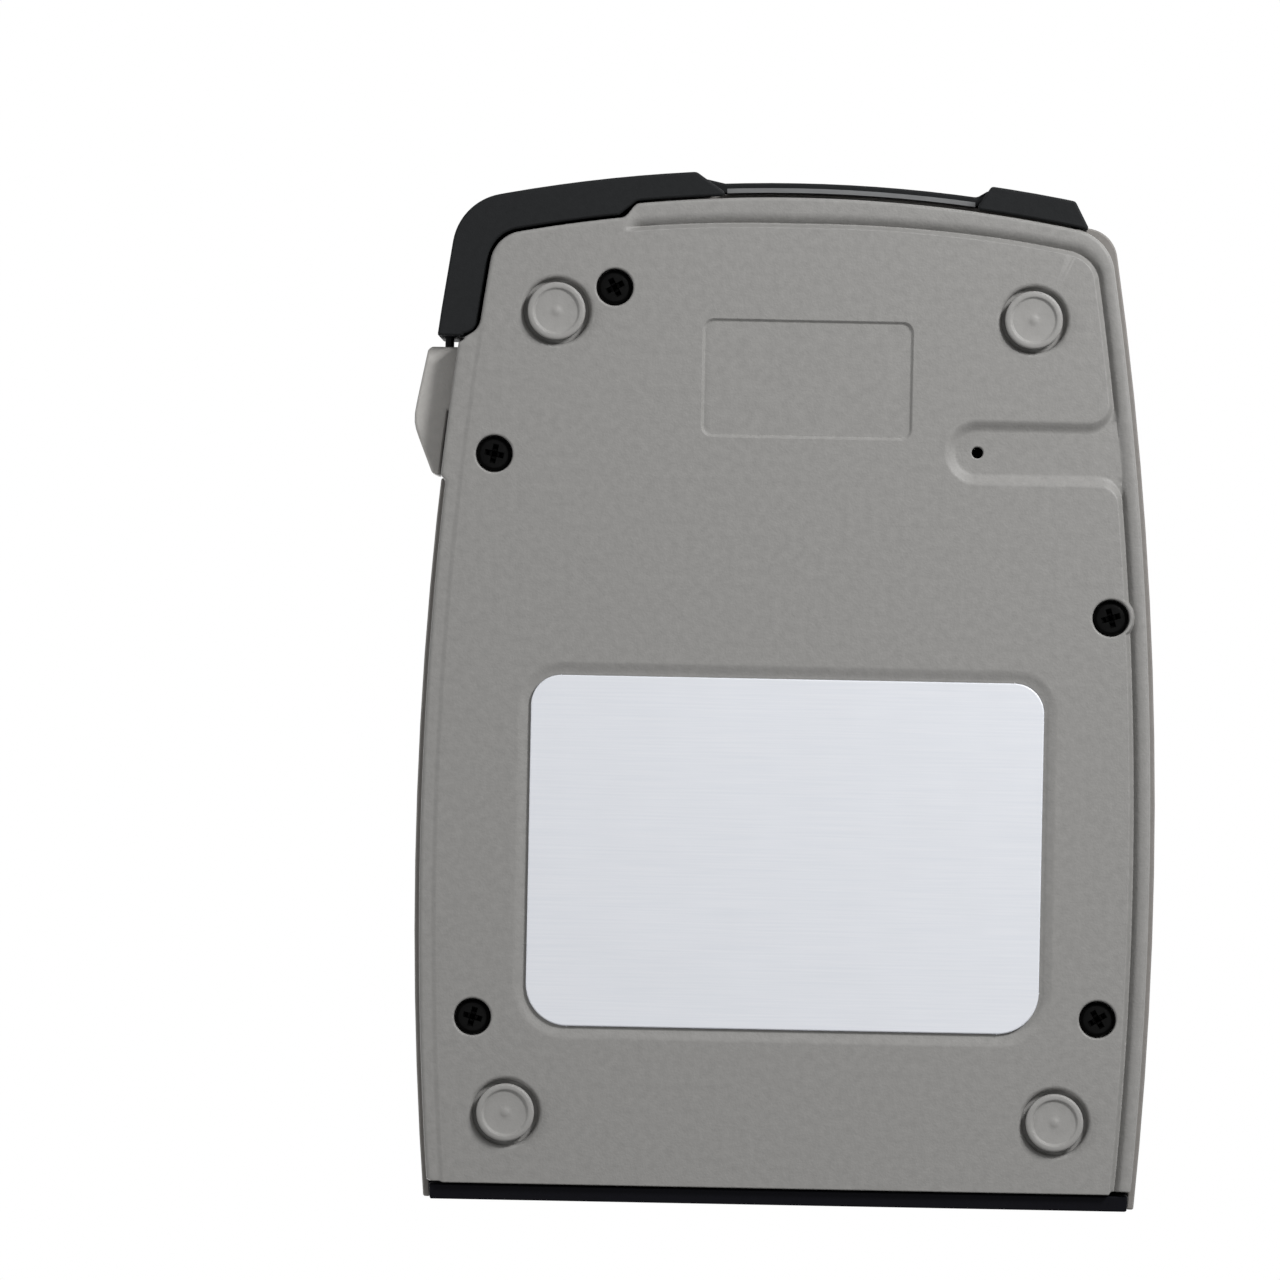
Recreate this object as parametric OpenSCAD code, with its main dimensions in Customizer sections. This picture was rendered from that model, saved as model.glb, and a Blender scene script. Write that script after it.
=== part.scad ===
// Surface roughness tester: the main unit, with a strip printer under a hinged paper door.
// It lies on its four feet: +Z comes out of the display and +Y points to the printer end.

/* [Case] */
// Widest width, across the two side arcs
body_w = 115.8; // [112:0.1:122]
// Length from the lower edge of the back cover to the crown of the top edge
body_l = 155.5; // [153:0.1:162]
// Depth from the back face to the front face
case_d = 36.8; // [36:0.2:42]
// Depth of the back cover, from the back face to the parting line
back_d = 10.8; // [10:0.1:12]
// Wall thickness of the two shells
wall = 2.2; // [1.8:0.1:2.4]
// Floor thickness of the back cover
floor_t = 2; // [1.6:0.1:2.2]
// Radius of the side arcs
side_r = 615; // [500:5:900]
// Height of the widest place above the lower edge
widest_at = 50; // [44:1:56]
// Radius of the top edge
top_r = 234; // [210:2:300]
// Radius of the two top corners
corner_r = 5; // [4:0.5:6]
// Radius of the front shell's front edge
edge_r = 2.4; // [1:0.1:3]
// Running gap between pieces that move past each other
gap = 0.4; // [0.3:0.05:0.5]

/* [Back face] */
// Depth of the rim below the back face
rim_step = 1; // [0.6:0.1:1.2]
// How far the back cover stands inside the edge of the front shell
rim_in = 1; // [0.6:0.1:1.4]
// Bevel of the rim's outer edge
rim_edge = 0.6; // [0.3:0.1:0.8]
// Distance of the raised back face from the case edge
plateau_in = 3.7; // [3.4:0.1:5]
// Run of the soft step from the rim up to the back face
step_run = 0.9; // [0.5:0.1:1.2]
// Width of the channel that runs out over the rim
channel_w = 8.6; // [7:0.1:10]
// Distance of the channel's round end from the middle
channel_end = 24.5; // [22:0.1:28]
// Distance of the channel's middle below the crown of the top edge
channel_drop = 40.2; // [39.2:0.1:41.2]
// Radius of the corners at the channel's mouth
mouth_r = 3.2; // [2:0.1:3.6]
// Diameter of the reset pinhole
pinhole_d = 1.8; // [1.2:0.1:2.4]
// Shallow panel recess: width
panel_recess_w = 32.5; // [28:0.1:34]
// Shallow panel recess: length
panel_recess_l = 18.1; // [14:0.1:19]
// Shallow panel recess: depth
panel_recess_d = 0.4; // [0.2:0.1:0.8]
// Distance of the panel recess's middle below the crown of the top edge
panel_recess_drop = 29.3; // [27.2:0.1:29.7]
// Name plate: width
plate_w = 80; // [70:0.1:82]
// Name plate: length
plate_l = 54.7; // [48:0.1:56]
// Name plate: thickness
plate_t = 0.3; // [0.2:0.05:0.5]
// Distance of the name plate's middle above the lower edge
plate_at = 52.1; // [50:0.1:54]

/* [Feet and screws] */
// How far the feet stand out of the back face
foot_h = 1.2; // [0.9:0.1:2]
// Diameter of a foot
foot_d = 9; // [8:0.1:10]
// Depth of the pocket that a foot sits in
foot_pocket = 0.8; // [0.5:0.1:1]
// Moat left around a foot
foot_moat = 0.6; // [0.4:0.05:1]
// Diameter of the foot's stem
foot_stem_d = 4; // [3:0.1:5]
// Diameter of the screw counterbores in the back face
screw_well_d = 5.8; // [5.6:0.1:6.2]
// Depth of the screw heads below the back face
screw_sink = 0.8; // [0.5:0.1:1.2]
// Diameter of the case screws' heads
screw_head_d = 5.4; // [5:0.1:5.5]
// Diameter of the case screws
screw_d = 3; // [2.5:0.1:3]

/* [Front] */
// Depth of the seat for the front panel and the window
panel_seat = 1; // [0.8:0.1:1.2]
// How far the front panel stands proud of the shell
panel_proud = 0.3; // [0.1:0.1:0.5]
// Border of the front shell around the front panel
panel_border = 5; // [4:0.1:7]
// Display window: width
window_w = 78; // [74:0.1:80]
// Display window: length
window_l = 50; // [46:0.1:52]
// Distance of the display's middle above the lower edge
display_at = 87; // [85:0.1:87.5]
// Ledge of the shell under the edge of the window
window_ledge = 2; // [1.5:0.1:3]
// How far the keys stand out of the front panel
key_proud = 1.2; // [1:0.1:1.6]
// Travel of a key
key_travel = 0.8; // [0.5:0.1:0.9]
// Middle of the key field above the lower edge
keys_at = 29.5; // [28:0.1:31]

/* [Paper door] */
// How far the door stands out past the case edge
door_proud = 3.3; // [2.8:0.1:3.8]
// How far it stands out at the paper slot
slot_proud = 2; // [1.6:0.1:2.4]
// Wall thickness of the door
door_t = 2.2; // [1.8:0.1:2.4]
// Radius of the door's outer corner
door_corner_r = 9; // [7:0.5:11]
// Radius of the door's front edge
door_edge_r = 3; // [2:0.1:4]
// How far the door's corner reaches in over the rim
door_in = 2.9; // [2.4:0.1:3.2]
// Distance of the hinge below the crown of the top edge
hinge_back = 31.6; // [31.2:0.1:32.2]
// Depth of the hinge below the front face
hinge_sink = 4; // [3.8:0.1:4.4]
// Radius of the door's round nose at the hinge
nose_r = 5.2; // [5:0.1:5.4]
// Diameter of the hinge pins
pin_d = 2.4; // [2:0.1:3]
// Radial clearance of a turning shaft or pin in its bore
run_gap = 0.05; // [0.02:0.01:0.08]
// Left end of the door, from the middle
door_left = 45.4; // [44:0.1:46]
// Lower end of the door's leg, below the crown of the top edge
leg_drop = 23.5; // [23.2:0.1:24]

/* [Release catch] */
// Length of the catch along the side
catch_l = 20; // [19:0.1:21]
// Height of the catch along Z
catch_h = 17.2; // [14:0.1:18]
// How far the catch stands out of the side
catch_proud = 5.2; // [4.6:0.1:5.6]
// Gap between the catch and the door's leg
catch_gap = 1.7; // [1.4:0.1:2]
// Press travel of the catch
catch_travel = 1.2; // [0.8:0.1:1.3]

/* [Printer] */
// Width of the paper
paper_w = 38; // [34:0.5:38]
// Middle of the paper, from the middle of the case
paper_x = -8.4; // [-9:0.1:-8]
// Radius of the paper roll
roll_r = 11; // [8:0.1:11.2]
// Radius of the roll's core
core_r = 5; // [4:0.1:6]
// Radius of the platen roller
platen_r = 4; // [3:0.1:4.2]
// Diameter of the platen shaft and of the core's journals
shaft_d = 3; // [2.4:0.1:3.4]
// Thickness of the printer frame's side plates
frame_t = 2; // [1.6:0.1:2.2]
// Side play of the rollers between the plates
side_play = 0.5; // [0.4:0.1:0.8]
// Diameter of the paper motor
motor_d = 15; // [12:0.5:16]
// Length of the paper motor
motor_l = 18; // [14:0.5:20]
// Thickness of the tear bar
tear_t = 0.7; // [0.5:0.1:1]
// Pitch of the tear bar's teeth
tear_pitch = 2; // [1.5:0.1:3]

/* [Electronics] */
// Thickness of the circuit board
board_t = 1.6; // [1.2:0.1:2]
// Depth of the board's upper face below the front face
board_sink = 10.4; // [10.2:0.1:11]
// Width of the circuit board
board_w = 92; // [90:0.5:94]
// Battery pack: width
battery_w = 66; // [56:0.5:68]
// Battery pack: length
battery_l = 34; // [28:0.5:36]
// Battery pack: height
battery_h = 17; // [12:0.1:18]
// Thickness of the lower end panel
end_t = 2.6; // [2.2:0.1:3]
// Diameter of the sensor socket
sensor_d = 14; // [12:0.1:15]
// Bore of the sensor socket
sensor_bore = 10; // [8:0.1:11]
// USB socket: width
usb_w = 12; // [11:0.1:13]
// Charging jack: width
jack_w = 9; // [8.5:0.1:10]

/* [Hidden] */
$fa = 4;
$fs = 0.6;
eps = 0.01;
far = 300;

// Levels along Z
back_z = foot_h;
rim_z = back_z + rim_step;
floor_z = back_z + floor_t;
rim_floor_z = rim_z + floor_t;
part_z = back_z + back_d;
front_z = back_z + case_d;
skin_z = front_z - wall;
board_z = front_z - board_sink;
under_z = board_z - board_t;

// Places along Y, with the overall length centred on the origin
overhang = (door_proud - end_t) / 2 - 0.25;
lower_y = -body_l / 2 - overhang;
top_y = body_l / 2 - overhang;
end_y = lower_y - end_t;
widest_y = lower_y + widest_at;
channel_y = top_y - channel_drop;
plate_y = lower_y + plate_at;
display_y = lower_y + display_at;
keys_y = lower_y + keys_at;
recess_y = top_y - panel_recess_drop;
recess_x = -2.1;
plate_gap = 0.4;
face_corner_r = corner_r + 0.7;
rim_corner_r = corner_r + 2.5;
panel_recess_r = 1.5;
hinge_y = top_y - hinge_back;
hinge_z = front_z - hinge_sink;
door_top_z = hinge_z + nose_r;
door_under_z = door_top_z - door_t;
bay_top_z = door_under_z - gap;
bay_y = hinge_y - nose_r - gap;
bay_x = -door_left - gap;
bay_wall = 1.6;
leg_y = top_y - leg_drop;
nose_end = half_w(hinge_y + nose_r) - wall - gap;
pin_hold = 4;
hook_z = part_z - 1.8;
leg_round = 3;
run_out = 22.6;

// Half width of the case at a place along Y, with the side arc's edge grown outwards
function half_w(y, grow = 0) = body_w / 2 - side_r + sqrt(pow(side_r + grow, 2) - pow(y - widest_y, 2));
// Place of the top edge at a place along X
function top_at(x, grow = 0) = top_y - top_r + sqrt(pow(top_r + grow, 2) - x * x);

// Places of the feet and of the case screws
foot_at = [for (side = [1, -1], end = [[20.7, top_y - 19.4], [15.1, lower_y + 11.1]])
    [side * (body_w / 2 - end[0]), end[1]]];
printer_screw = [28.2, top_y - 15.5];
side_screws = [[body_w / 2 - 11.4, top_y - 41.8], [7.8 - body_w / 2, lower_y + 89.9],
    [body_w / 2 - 9.7, lower_y + 25.9], [8.7 - body_w / 2, lower_y + 27.3]];
screw_at = concat([printer_screw], side_screws);
boss_d = screw_well_d + 3.2;
front_boss_d = screw_d + 4.4;
head_z = back_z + screw_sink;
head_t = 2.2;
screw_l = 12;

// Keys: place from the middle of the key field, width and length
key_r = 3;
key_clear = 0.35;
key_lip = 1.2;
key_side_x = body_w / 2 - 24.9;
keys = [[-key_side_x, 8, 13, 9], [-key_side_x, -8, 13, 9], [key_side_x, 8, 13, 9], [key_side_x, -8, 13, 9],
    [0, 12, 11, 8], [0, -12, 11, 8], [-15, 0, 8, 11], [15, 0, 8, 11], [0, 0, 11, 11]];
key_top_z = front_z + panel_proud + key_proud;
key_lip_z = skin_z - 0.3;
mat_t = 1.2;
mat_w = 2 * key_side_x + 16;
mat_l = 38;
mat_dome = 1.8;
key_foot_z = board_z + mat_t + mat_dome + key_travel + 0.3;

// Catch: its ends along Y and its level
catch_top = leg_y - catch_gap;
catch_low = catch_top - catch_l;
catch_z = rim_floor_z + 1.2;
catch_pass = catch_top - 10;
catch_flange_x = half_w(catch_top + 0.2) - wall - rim_in - gap;
catch_pocket = min(catch_travel + 0.2, wall - 0.7);
tongue_t = 1.2;
tongue_in = 1.2;
tongue_x = half_w(catch_top) + 0.8;
spring_wire = 0.6;
spring_r = 2.4;
spring_turns = 4;
spring_y = catch_pass + 5;
spring_z = catch_z + 8;
spring_l = 4.6;

// Printer: roll, platen and head
slot_z = part_z + 3;
slot_h = 4.4;
tear_reach = paper_w / 2 + 0.4;
plate_x0 = paper_x - paper_w / 2 - side_play - frame_t;
plate_x1 = paper_x + paper_w / 2 + side_play;
roll_y = top_y - 23.6;
roll_z = floor_z + roll_r + 1;
platen_y = top_y - 7.6;
platen_z = front_z - 13;
head_gap = 0.3;
head_block_t = 1.6;
head_y = platen_y - platen_r - head_gap;
head_low = platen_z - 3.2;
head_top = platen_z + 8;
frame_top = head_top + 0.4;
bar_t = 2;
bar_y = head_y - head_block_t - 4.2;
gearbox_w = 7;
frame_back_y = roll_y - 9;
frame_shoulder_z = roll_z + 8;

// Board, display and battery
board_low = lower_y + 3.8;
board_top = channel_y - 0.9;
reset_at = [-channel_end - channel_w / 2, channel_y];
buzzer_at = [34, keys_y + 24];
buzzer_t = 4;
lcd_border = 1.2;
lcd_t = 2.4;
lcd_top_z = skin_z - 0.2;
lcd_low_z = board_z + 2;
post_d = 5.2;
post_x = window_w / 2 + lcd_border + post_d / 2 + 0.4;
post_at = [[post_x, display_y + 16], [-post_x, display_y + 16], [42, lower_y + 7.4], [-42, lower_y + 7.4]];
board_half = max(board_w / 2, post_x + post_d / 2 + 0.2);
board_screw_d = 2;
battery_y = lower_y + 38;
battery_z = floor_z;
battery_corner_r = 2.5;
strap_seat = 3;
strap_t = 1;
strap_w = 10;
strap_foot = 9;
socket_l = 14;
socket_z = under_z - 9;
sensor_x = -26;
usb_x = 6;
usb_h = 11;
jack_x = 28;
jack_h = 11;

grey = [0.55, 0.54, 0.53];
black = [0.10, 0.10, 0.105];
steel = [0.72, 0.73, 0.74];

// Plan of the case before its corners are rounded
module raw_outline(grow) {
    intersection() {
        translate([body_w / 2 - side_r, widest_y]) circle(r = side_r + grow, $fa = 1);
        translate([side_r - body_w / 2, widest_y]) circle(r = side_r + grow, $fa = 1);
        translate([0, top_y - top_r]) circle(r = top_r + grow, $fa = 1);
        translate([-body_w, lower_y - body_l / 2]) square(2 * body_w + body_l);
    }
}

// Plan of the case, grown outwards, cut straight at the lower end
module outline(grow = 0, low = lower_y, corner = corner_r) {
    intersection() {
        offset(r = corner) offset(delta = -corner) raw_outline(grow);
        translate([-body_w, low]) square(2 * body_w + body_l);
    }
}

// Corner of the plan that belongs to the paper door
module door_corner() {
    cross = 0.1;
    leg_x = half_w(leg_y + leg_round) - door_in - cross;
    difference() {
        polygon([[run_out, top_y + far], [run_out, top_y - 0.5], [run_out + 8, top_y - 7],
            [half_w(leg_y) - 8, leg_y], [far, leg_y], [far, top_y + far]]);
        outline(-door_in);
        polygon(concat([[leg_x - 2, leg_y + leg_round], [leg_x - 2, leg_y - 1], [leg_x + leg_round, leg_y - 1]],
            [for (a = [270:-22.5:180])
                [leg_x + leg_round * (1 + cos(a)), leg_y - cross + leg_round * (1 + sin(a))]]));
    }
}

module shell_plan(low = lower_y) {
    difference() {
        outline(0, low);
        door_corner();
    }
}

module cover_plan() {
    difference() {
        outline(-rim_in, corner = rim_corner_r);
        door_corner();
    }
}

// Lip of the cover that closes the gap behind the catch
module catch_lip() {
    intersection() {
        outline(-0.1);
        translate([0, catch_low - gap]) square([far, catch_l + catch_gap]);
    }
}

// Plan of the paper door: proud of the case, with the paper slot set back and a slanted left end
module door_plan() {
    slant = 3.2;
    difference() {
        intersection() {
            outline(door_proud, corner = door_corner_r);
            polygon([[-door_left, hinge_y], [-door_left, top_at(door_left) - 0.2],
                [-door_left + slant, top_at(door_left) + 6], [-door_left + slant, top_y + far],
                [far, top_y + far], [far, hinge_y]]);
            translate([-far, leg_y]) square(2 * far);
        }
        difference() {
            slot_plan(slot_proud);
            outline(slot_proud);
        }
    }
}

// Plan of the paper slot, which opens outwards in two slopes from a place beyond the case edge
module slot_plan(foot) {
    slot_left = paper_x - tear_reach - gap;
    slot_right = paper_x + tear_reach + gap;
    ramp = 4.4;
    polygon([[slot_left, platen_y], [slot_right, platen_y], [slot_right, top_at(slot_right, foot)],
        [slot_right + ramp, top_at(slot_right + ramp, door_proud)], [slot_right + ramp, top_y + far],
        [slot_left - ramp / 2, top_y + far], [slot_left - ramp / 2, top_at(slot_left, door_proud)],
        [slot_left, top_at(slot_left, foot)]]);
}

module round_rect(w, l, r) {
    square([w - 2 * r, l], center = true);
    square([w, l - 2 * r], center = true);
    for (x = [-1, 1], y = [-1, 1]) translate([x * (w / 2 - r), y * (l / 2 - r)]) circle(r = r);
}

module slab(z0, z1) {
    translate([0, 0, z0]) linear_extrude(z1 - z0) children();
}

// A block between two corners
module block(low, high) {
    translate(low) cube(high - low);
}

// A bar along X between two places
module bar_x(x0, x1, y, z, r) {
    translate([x0, y, z]) rotate([0, 90, 0]) cylinder(r = r, h = x1 - x0);
}

// A wound wire that stands on the origin
module coil(r, wire, l, turns) {
    sides = 6;
    steps = 16 * turns;
    points = [for (i = [0:steps], j = [0:sides - 1])
        let (a = 360 * turns * i / steps, b = 360 * j / sides, out = r + wire / 2 * cos(b))
        [out * cos(a), out * sin(a), wire / 2 + (l - wire) * i / steps + wire / 2 * sin(b)]];
    walls = [for (i = [0:steps - 1], j = [0:sides - 1])
        let (k = (j + 1) % sides)
        [i * sides + j, i * sides + k, (i + 1) * sides + k, (i + 1) * sides + j]];
    first = [for (j = [sides - 1:-1:0]) j];
    last = [for (j = [0:sides - 1]) steps * sides + j];
    polyhedron(points, concat(walls, [first, last]), convexity = 10);
}

// The plan of the case carried up to a level, with a round upper edge
module round_edged(top_z, r, grow, low, corner) {
    hull() {
        slab(0, top_z - r) outline(grow, low, corner);
        for (a = [30, 60, 90])
            slab(top_z - r, top_z - r + r * sin(a)) outline(grow - r * (1 - cos(a)), low + r * (1 - cos(a)), corner);
    }
}

// The part of the plan that the catch passes through, and the pocket that it is pressed into
module catch_window() {
    difference() {
        translate([0, catch_low - gap]) square([far, catch_l + 2 * gap]);
        outline(-catch_pocket);
    }
    translate([catch_flange_x - 6, catch_pass - gap]) square([20, catch_top - catch_pass + 2 * gap]);
}

module plateau_slice(z, inset) {
    slab(z, z + eps) outline(-inset, corner = face_corner_r);
}

// The raised face goes on to the cover's edge where the paper door wraps the corner
module corner_face() {
    intersection() {
        outline(-door_in - gap);
        polygon([[run_out + 4, top_y + far], [run_out + 4, top_y - 9], [half_w(leg_y) - 9, leg_y + 4],
            [far, leg_y + 4], [far, top_y + far]]);
    }
}

module channel_plan() {
    mouth_x = -half_w(channel_y) + plateau_in + step_run / 2;
    translate([-channel_end - channel_w / 2, channel_y]) circle(d = channel_w);
    translate([-far, channel_y - channel_w / 2]) square([far - channel_end - channel_w / 2, channel_w]);
    difference() {
        translate([mouth_x - 2, channel_y - channel_w / 2 - mouth_r]) square([mouth_r + 2, channel_w + 2 * mouth_r]);
        for (side = [-1, 1])
            translate([mouth_x + mouth_r, channel_y + side * (channel_w / 2 + mouth_r)]) circle(r = mouth_r);
    }
}

module name_plate_plan(grow) {
    top_corner = 4.7;
    low_corner = 6.5;
    offset(delta = grow) {
        intersection() {
            round_rect(plate_w, plate_l, top_corner);
            translate([-plate_w, 0]) square([2 * plate_w, plate_l]);
        }
        intersection() {
            round_rect(plate_w, plate_l, low_corner);
            translate([-plate_w, -plate_l]) square([2 * plate_w, plate_l + eps]);
        }
    }
}

// Wall and floor of the back cover, with the raised back face
module cover_shell() {
    difference() {
        union() {
            difference() {
                hull() {
                    slab(rim_z, part_z) outline(-rim_in - rim_edge, corner = rim_corner_r);
                    slab(rim_z + rim_edge, part_z) outline(-rim_in, corner = rim_corner_r);
                }
                slab(rim_z - 1, part_z + 1) door_corner();
            }
            slab(rim_z + rim_edge, catch_z - gap) catch_lip();
            slab(back_z, rim_z + eps) corner_face();
            hull() {
                plateau_slice(rim_z + eps, plateau_in);
                plateau_slice(back_z + rim_step * 0.3, plateau_in + step_run * 0.35);
                plateau_slice(back_z, plateau_in + step_run);
            }
        }
        slab(rim_floor_z, part_z + 1) offset(delta = -wall) cover_plan();
        block([-half_w(lower_y) + wall + rim_in, lower_y - 1, rim_floor_z],
            [half_w(lower_y) - wall - rim_in, lower_y + 2 * wall, part_z + 1]);
        slab(floor_z, rim_floor_z + eps)
            outline(-plateau_in - step_run - wall, low = lower_y + wall, corner = face_corner_r);
    }
}

module back_cover() {
    color(grey) difference() {
        union() {
            cover_shell();
            for (p = screw_at) translate(p) slab(floor_z - eps, part_z) circle(d = boss_d);
            translate(reset_at) slab(floor_z - eps, part_z - 0.5) circle(d = pinhole_d + 2);
            battery_rails();
            catch_spring_rib();
        }
        slab(back_z - 1, rim_z) channel_plan();
        translate(reset_at) slab(0, part_z) circle(d = pinhole_d);
        translate([recess_x, recess_y]) slab(back_z - 1, back_z + panel_recess_d)
            round_rect(panel_recess_w, panel_recess_l, panel_recess_r);
        translate([0, plate_y]) slab(back_z - 1, back_z + plate_t) name_plate_plan(plate_gap);
        for (p = foot_at) translate(p) {
            slab(back_z - 1, back_z + foot_pocket) circle(d = foot_d + 2 * foot_moat);
            slab(0, rim_floor_z + 1) circle(d = foot_stem_d + 0.1);
        }
        for (p = screw_at) translate(p) {
            slab(back_z - 1, head_z + head_t) circle(d = screw_well_d);
            slab(0, part_z + 1) circle(d = screw_d + 0.2);
        }
        slab(catch_z - gap, part_z + 1) catch_window();
    }
}

// Two low rails that hold the battery between them
module battery_rails() {
    for (side = [-1, 1], end = [-1, 1])
        translate([side * (battery_w / 2 + 0.9), battery_y + end * (battery_l / 2 - 4)])
            slab(floor_z - eps, floor_z + 5) square([1.4, 6], center = true);
    for (side = [-1, 1])
        translate([side * (battery_w / 2 + strap_foot / 2 + 0.5), battery_y])
            slab(floor_z - eps, floor_z + strap_seat) difference() {
                circle(d = 6);
                circle(d = board_screw_d);
            }
}

// Rib that backs the catch's spring
module catch_spring_rib() {
    rib_x = catch_flange_x - 2 - spring_l - 1.4;
    block([rib_x, spring_y - 4, floor_z - eps], [rib_x + 1.4, spring_y + 4, spring_z + 3.6]);
}

// Outer form of the front shell
module shell_form() {
    difference() {
        round_edged(front_z, edge_r, 0, end_y, corner_r);
        slab(-1, part_z) square(4 * body_l, center = true);
        slab(part_z - 1, front_z + 1) door_corner();
    }
}

module front_shell() {
    color(grey) difference() {
        union() {
            difference() {
                shell_form();
                slab(part_z - 1, skin_z) offset(delta = -wall) shell_plan(end_y - 10);
                slab(part_z - 1, skin_z) intersection() {
                    outline(-wall / 2, low = end_y - 1);
                    translate([-body_w, end_y - 1]) square([2 * body_w, end_t + 1]);
                }
            }
            intersection() {
                shell_form();
                union() {
                    block([-body_w, bay_y - bay_wall, part_z], [body_w, bay_y, front_z]);
                    block([bay_x - wall, bay_y - bay_wall, part_z], [bay_x, top_y, front_z]);
                }
            }
            for (p = side_screws) translate(p) slab(part_z, skin_z + eps) circle(d = front_boss_d);
            for (p = post_at) translate(p) slab(board_z, skin_z + eps) circle(d = post_d);
        }
        bay_cut();
        slab(front_z - panel_seat, front_z + 1) panel_plan(0.2);
        translate([0, display_y]) slab(skin_z - 1, front_z)
            round_rect(window_w - 2 * window_ledge, window_l - 2 * window_ledge, 2);
        slab(skin_z - 1, front_z) key_holes();
        for (p = side_screws) translate(p) slab(part_z - 1, head_z + head_t + screw_l + 1) circle(d = screw_d + 0.1);
        for (p = post_at) translate(p) slab(board_z - 1, board_z + 5) circle(d = board_screw_d + 0.05);
        slab(part_z - 1, catch_z + catch_h + gap) catch_window();
        block([catch_flange_x - 5, bay_y - bay_wall - 1, part_z - 1],
            [half_w(bay_y) - wall + eps, bay_y + 1, catch_z + catch_h + 2.2]);
        bar_x(bay_x - wall + 0.4, bay_x + 1, hinge_y, hinge_z, pin_d / 2 + 0.02);
        bar_x(nose_end, half_w(hinge_y) - 0.7, hinge_y, hinge_z, pin_d / 2 + 0.02);
    }
}

// Opening over the printer, which the paper door closes
module bay_cut() {
    block([bay_x, bay_y, bay_top_z], [nose_end + gap, far, front_z + 1]);
    block([bay_x, leg_y - gap, bay_top_z], [far, far, front_z + 1]);
    slab(part_z + eps, front_z + 1) intersection() {
        offset(delta = -wall) shell_plan();
        translate([bay_x, bay_y]) square(far);
    }
    block([plate_x0 - 2, platen_y, slot_z], [plate_x1 + 24, far, front_z + 1]);
}

module panel_plan(grow) {
    offset(r = 6 + grow) offset(delta = -6) intersection() {
        outline(-panel_border, low = lower_y + panel_border);
        translate([-body_w, lower_y]) square([2 * body_w, bay_y - panel_border + 1 - lower_y]);
    }
}

module key_plan(k, grow) {
    translate([k[0], keys_y + k[1]]) {
        if (k[2] == k[3]) circle(d = k[2] + 2 * grow);
        else round_rect(k[2] + 2 * grow, k[3] + 2 * grow, key_r + grow);
    }
}

module key_holes() {
    for (k = keys) key_plan(k, key_clear);
}

module front_panel() {
    color(black) slab(front_z - panel_seat, front_z + panel_proud) difference() {
        panel_plan(0);
        translate([0, display_y]) round_rect(window_w + 0.4, window_l + 0.4, 3.2);
        key_holes();
    }
}

module lower_end_panel() {
    panel_top = skin_z - 0.3;
    color(black) difference() {
        union() {
            slab(rim_z + 0.2, panel_top) intersection() {
                outline(-wall / 2 - 0.2, low = end_y);
                translate([-body_w, end_y]) square([2 * body_w, end_t - 0.2]);
            }
            block([-half_w(lower_y) + 2 * wall + 1, lower_y - 0.4, rim_floor_z + 0.3],
                [half_w(lower_y) - 2 * wall - 1, lower_y + 1.8, panel_top]);
        }
        translate([sensor_x, end_y - 1, socket_z]) rotate([-90, 0, 0]) cylinder(d = sensor_d + 0.1, h = 10);
        block([usb_x - usb_w / 2 - 0.1, end_y - 1, under_z - usb_h - 0.1], [usb_x + usb_w / 2 + 0.1, lower_y + 3, under_z]);
        block([jack_x - jack_w / 2 - 0.1, end_y - 1, under_z - jack_h - 0.1],
            [jack_x + jack_w / 2 + 0.1, lower_y + 3, under_z]);
    }
}

module foot(i) {
    ring = 1;
    dish = 0.35;
    seat = back_z + foot_pocket;
    color(grey) translate(foot_at[i]) rotate_extrude() polygon([[0, dish - 0.15], [0.7, dish - 0.15], [0.9, dish],
        [foot_d / 2 - ring, dish], [foot_d / 2 - ring + 0.2, 0], [foot_d / 2 - 0.3, 0], [foot_d / 2, 0.3],
        [foot_d / 2, seat], [foot_stem_d / 2, seat], [foot_stem_d / 2, seat + 2], [0, seat + 2]]);
}

module case_screws() {
    color(black) for (p = screw_at) translate(p) difference() {
        union() {
            slab(head_z, head_z + head_t) circle(d = screw_head_d);
            slab(head_z, head_z + head_t + screw_l) circle(d = screw_d);
        }
        for (turn = [0, 90]) rotate(turn) slab(head_z - 1, head_z + 1.2) square([3.2, 0.8], center = true);
    }
}

module name_plate() {
    color([0.85, 0.86, 0.88]) translate([0, plate_y]) slab(back_z, back_z + plate_t) name_plate_plan(0);
}

module display_window() {
    color([0.35, 0.42, 0.42, 0.5]) translate([0, display_y]) slab(front_z - panel_seat, front_z + panel_proud - 0.1)
        round_rect(window_w, window_l, 3);
}

module lcd_panel() {
    color([0.55, 0.62, 0.52]) translate([0, display_y]) slab(lcd_top_z - lcd_t, lcd_top_z)
        square([window_w - window_ledge, window_l - window_ledge], center = true);
}

module lcd_frame() {
    glass_w = window_w - window_ledge;
    glass_l = window_l - window_ledge;
    color([0.8, 0.8, 0.8]) translate([0, display_y]) {
        difference() {
            slab(lcd_low_z, lcd_top_z) square([glass_w + 2 * lcd_border, glass_l + 2 * lcd_border], center = true);
            slab(lcd_top_z - lcd_t, lcd_top_z + 1) square([glass_w + 0.2, glass_l + 0.2], center = true);
        }
        for (x = [-1, 1], y = [-1, 1])
            translate([x * (glass_w / 2 - 3), y * (glass_l / 2 - 3)]) slab(board_z, lcd_low_z + eps) circle(d = 4);
    }
}

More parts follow.
